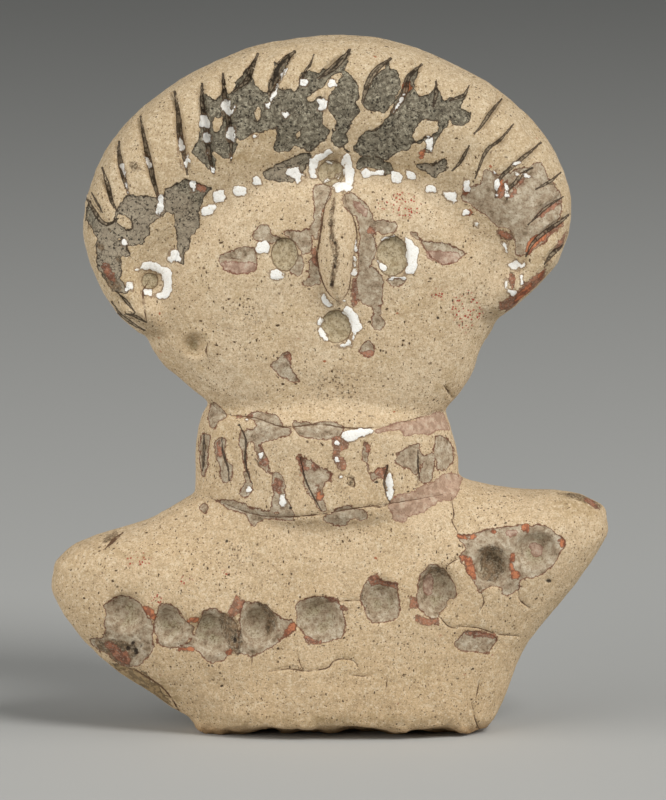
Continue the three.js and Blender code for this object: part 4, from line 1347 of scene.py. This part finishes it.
def clay_material():
    """Pale tan clay with a worn cream slip, and what is left of the paint on it."""
    p = ClayPainter("painted_terracotta")
    lay_clay(p)
    lay_specks(p)
    lay_scars(p)
    wash_share = lay_washes(p)
    loss_share, ground_specks = lay_hair_ground(p)
    lay_stains_and_hollow_shade(p)
    lay_rings(p)
    lay_wear(p)
    lay_lines(p)
    white_share = lay_white(p)

    grain = p.maths("ADD", p.noise(p.place, 0.3, 3, 0.65), p.mottle)
    for share, depth in (
        (loss_share, ground_specks),
        (loss_share, 1),
        (wash_share, 0.7),
        (white_share, -0.8),
    ):
        grain = p.maths("SUBTRACT", grain, p.maths("MULTIPLY", share, depth))
    bump_inputs = {"Strength": 0.7, "Distance": BUMP_DISTANCE * MM, "Height": grain}
    return p.surface(
        {
            "Base Color": p.colour,
            "Roughness": 0.88,
            "Specular IOR Level": 0.25,
            "Normal": p.node("ShaderNodeBump", bump_inputs).outputs[0],
        }
    )


def floor_material():
    inputs = {"Base Color": "studio floor", "Roughness": 0.9, "Specular IOR Level": 0.2}
    return Painter("pale_floor").surface(inputs)


def pale_floor():
    half = FLOOR_HALF
    mesh = bpy.data.meshes.new("floor")
    corners = [(-half, -half, 0), (half, -half, 0), (half, half, 0), (-half, half, 0)]
    mesh.from_pydata(corners, [], [(0, 1, 2, 3)])
    mesh.materials.append(floor_material())
    floor = bpy.data.objects.new("floor", mesh)
    floor.location.z = cad_low.z
    bpy.context.scene.collection.objects.link(floor)
    return floor


def soft_light(name, place, size, power, tone):
    lamp = bpy.data.lights.new(name, "AREA")
    lamp.shape = "DISK"
    lamp.size = size
    lamp.energy = power
    lamp.color = tone
    light = bpy.data.objects.new(name, lamp)
    light.location = place
    aim = Vector(LOOK_AT_MM * MM) - Vector(place)
    light.rotation_euler = aim.to_track_quat("-Z", "Y").to_euler()
    bpy.context.scene.collection.objects.link(light)


def studio():
    pale_floor()
    for name, setting in LAMPS.items():
        soft_light(name, *setting)
    world = bpy.data.worlds.new("studio_air")
    world.use_nodes = True
    air = world.node_tree.nodes["Background"]
    air.inputs["Color"].default_value = AIR_TONE
    air.inputs["Strength"].default_value = AIR_STRENGTH
    bpy.context.scene.world = world
    bpy.context.scene.view_settings.view_transform = "Standard"


def photo_camera():
    lens = bpy.data.cameras.new("camera")
    lens.sensor_width = SENSOR
    lens.lens = SENSOR * CAMERA_DISTANCE_MM / (PHOTO_HEIGHT * PIXEL_MM)
    camera = bpy.data.objects.new("camera", lens)
    back = Vector((0, -math.cos(CAMERA_RISE), math.sin(CAMERA_RISE)))
    camera.location = (Vector(LOOK_AT_MM) + back * CAMERA_DISTANCE_MM) * MM
    camera.rotation_euler = (-back).to_track_quat("-Z", "Y").to_euler()
    bpy.context.scene.collection.objects.link(camera)
    bpy.context.scene.camera = camera


photo_camera()
bust = painted_bust()
bust.data.materials.append(clay_material())
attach(bust, "root")
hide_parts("bust")
studio()
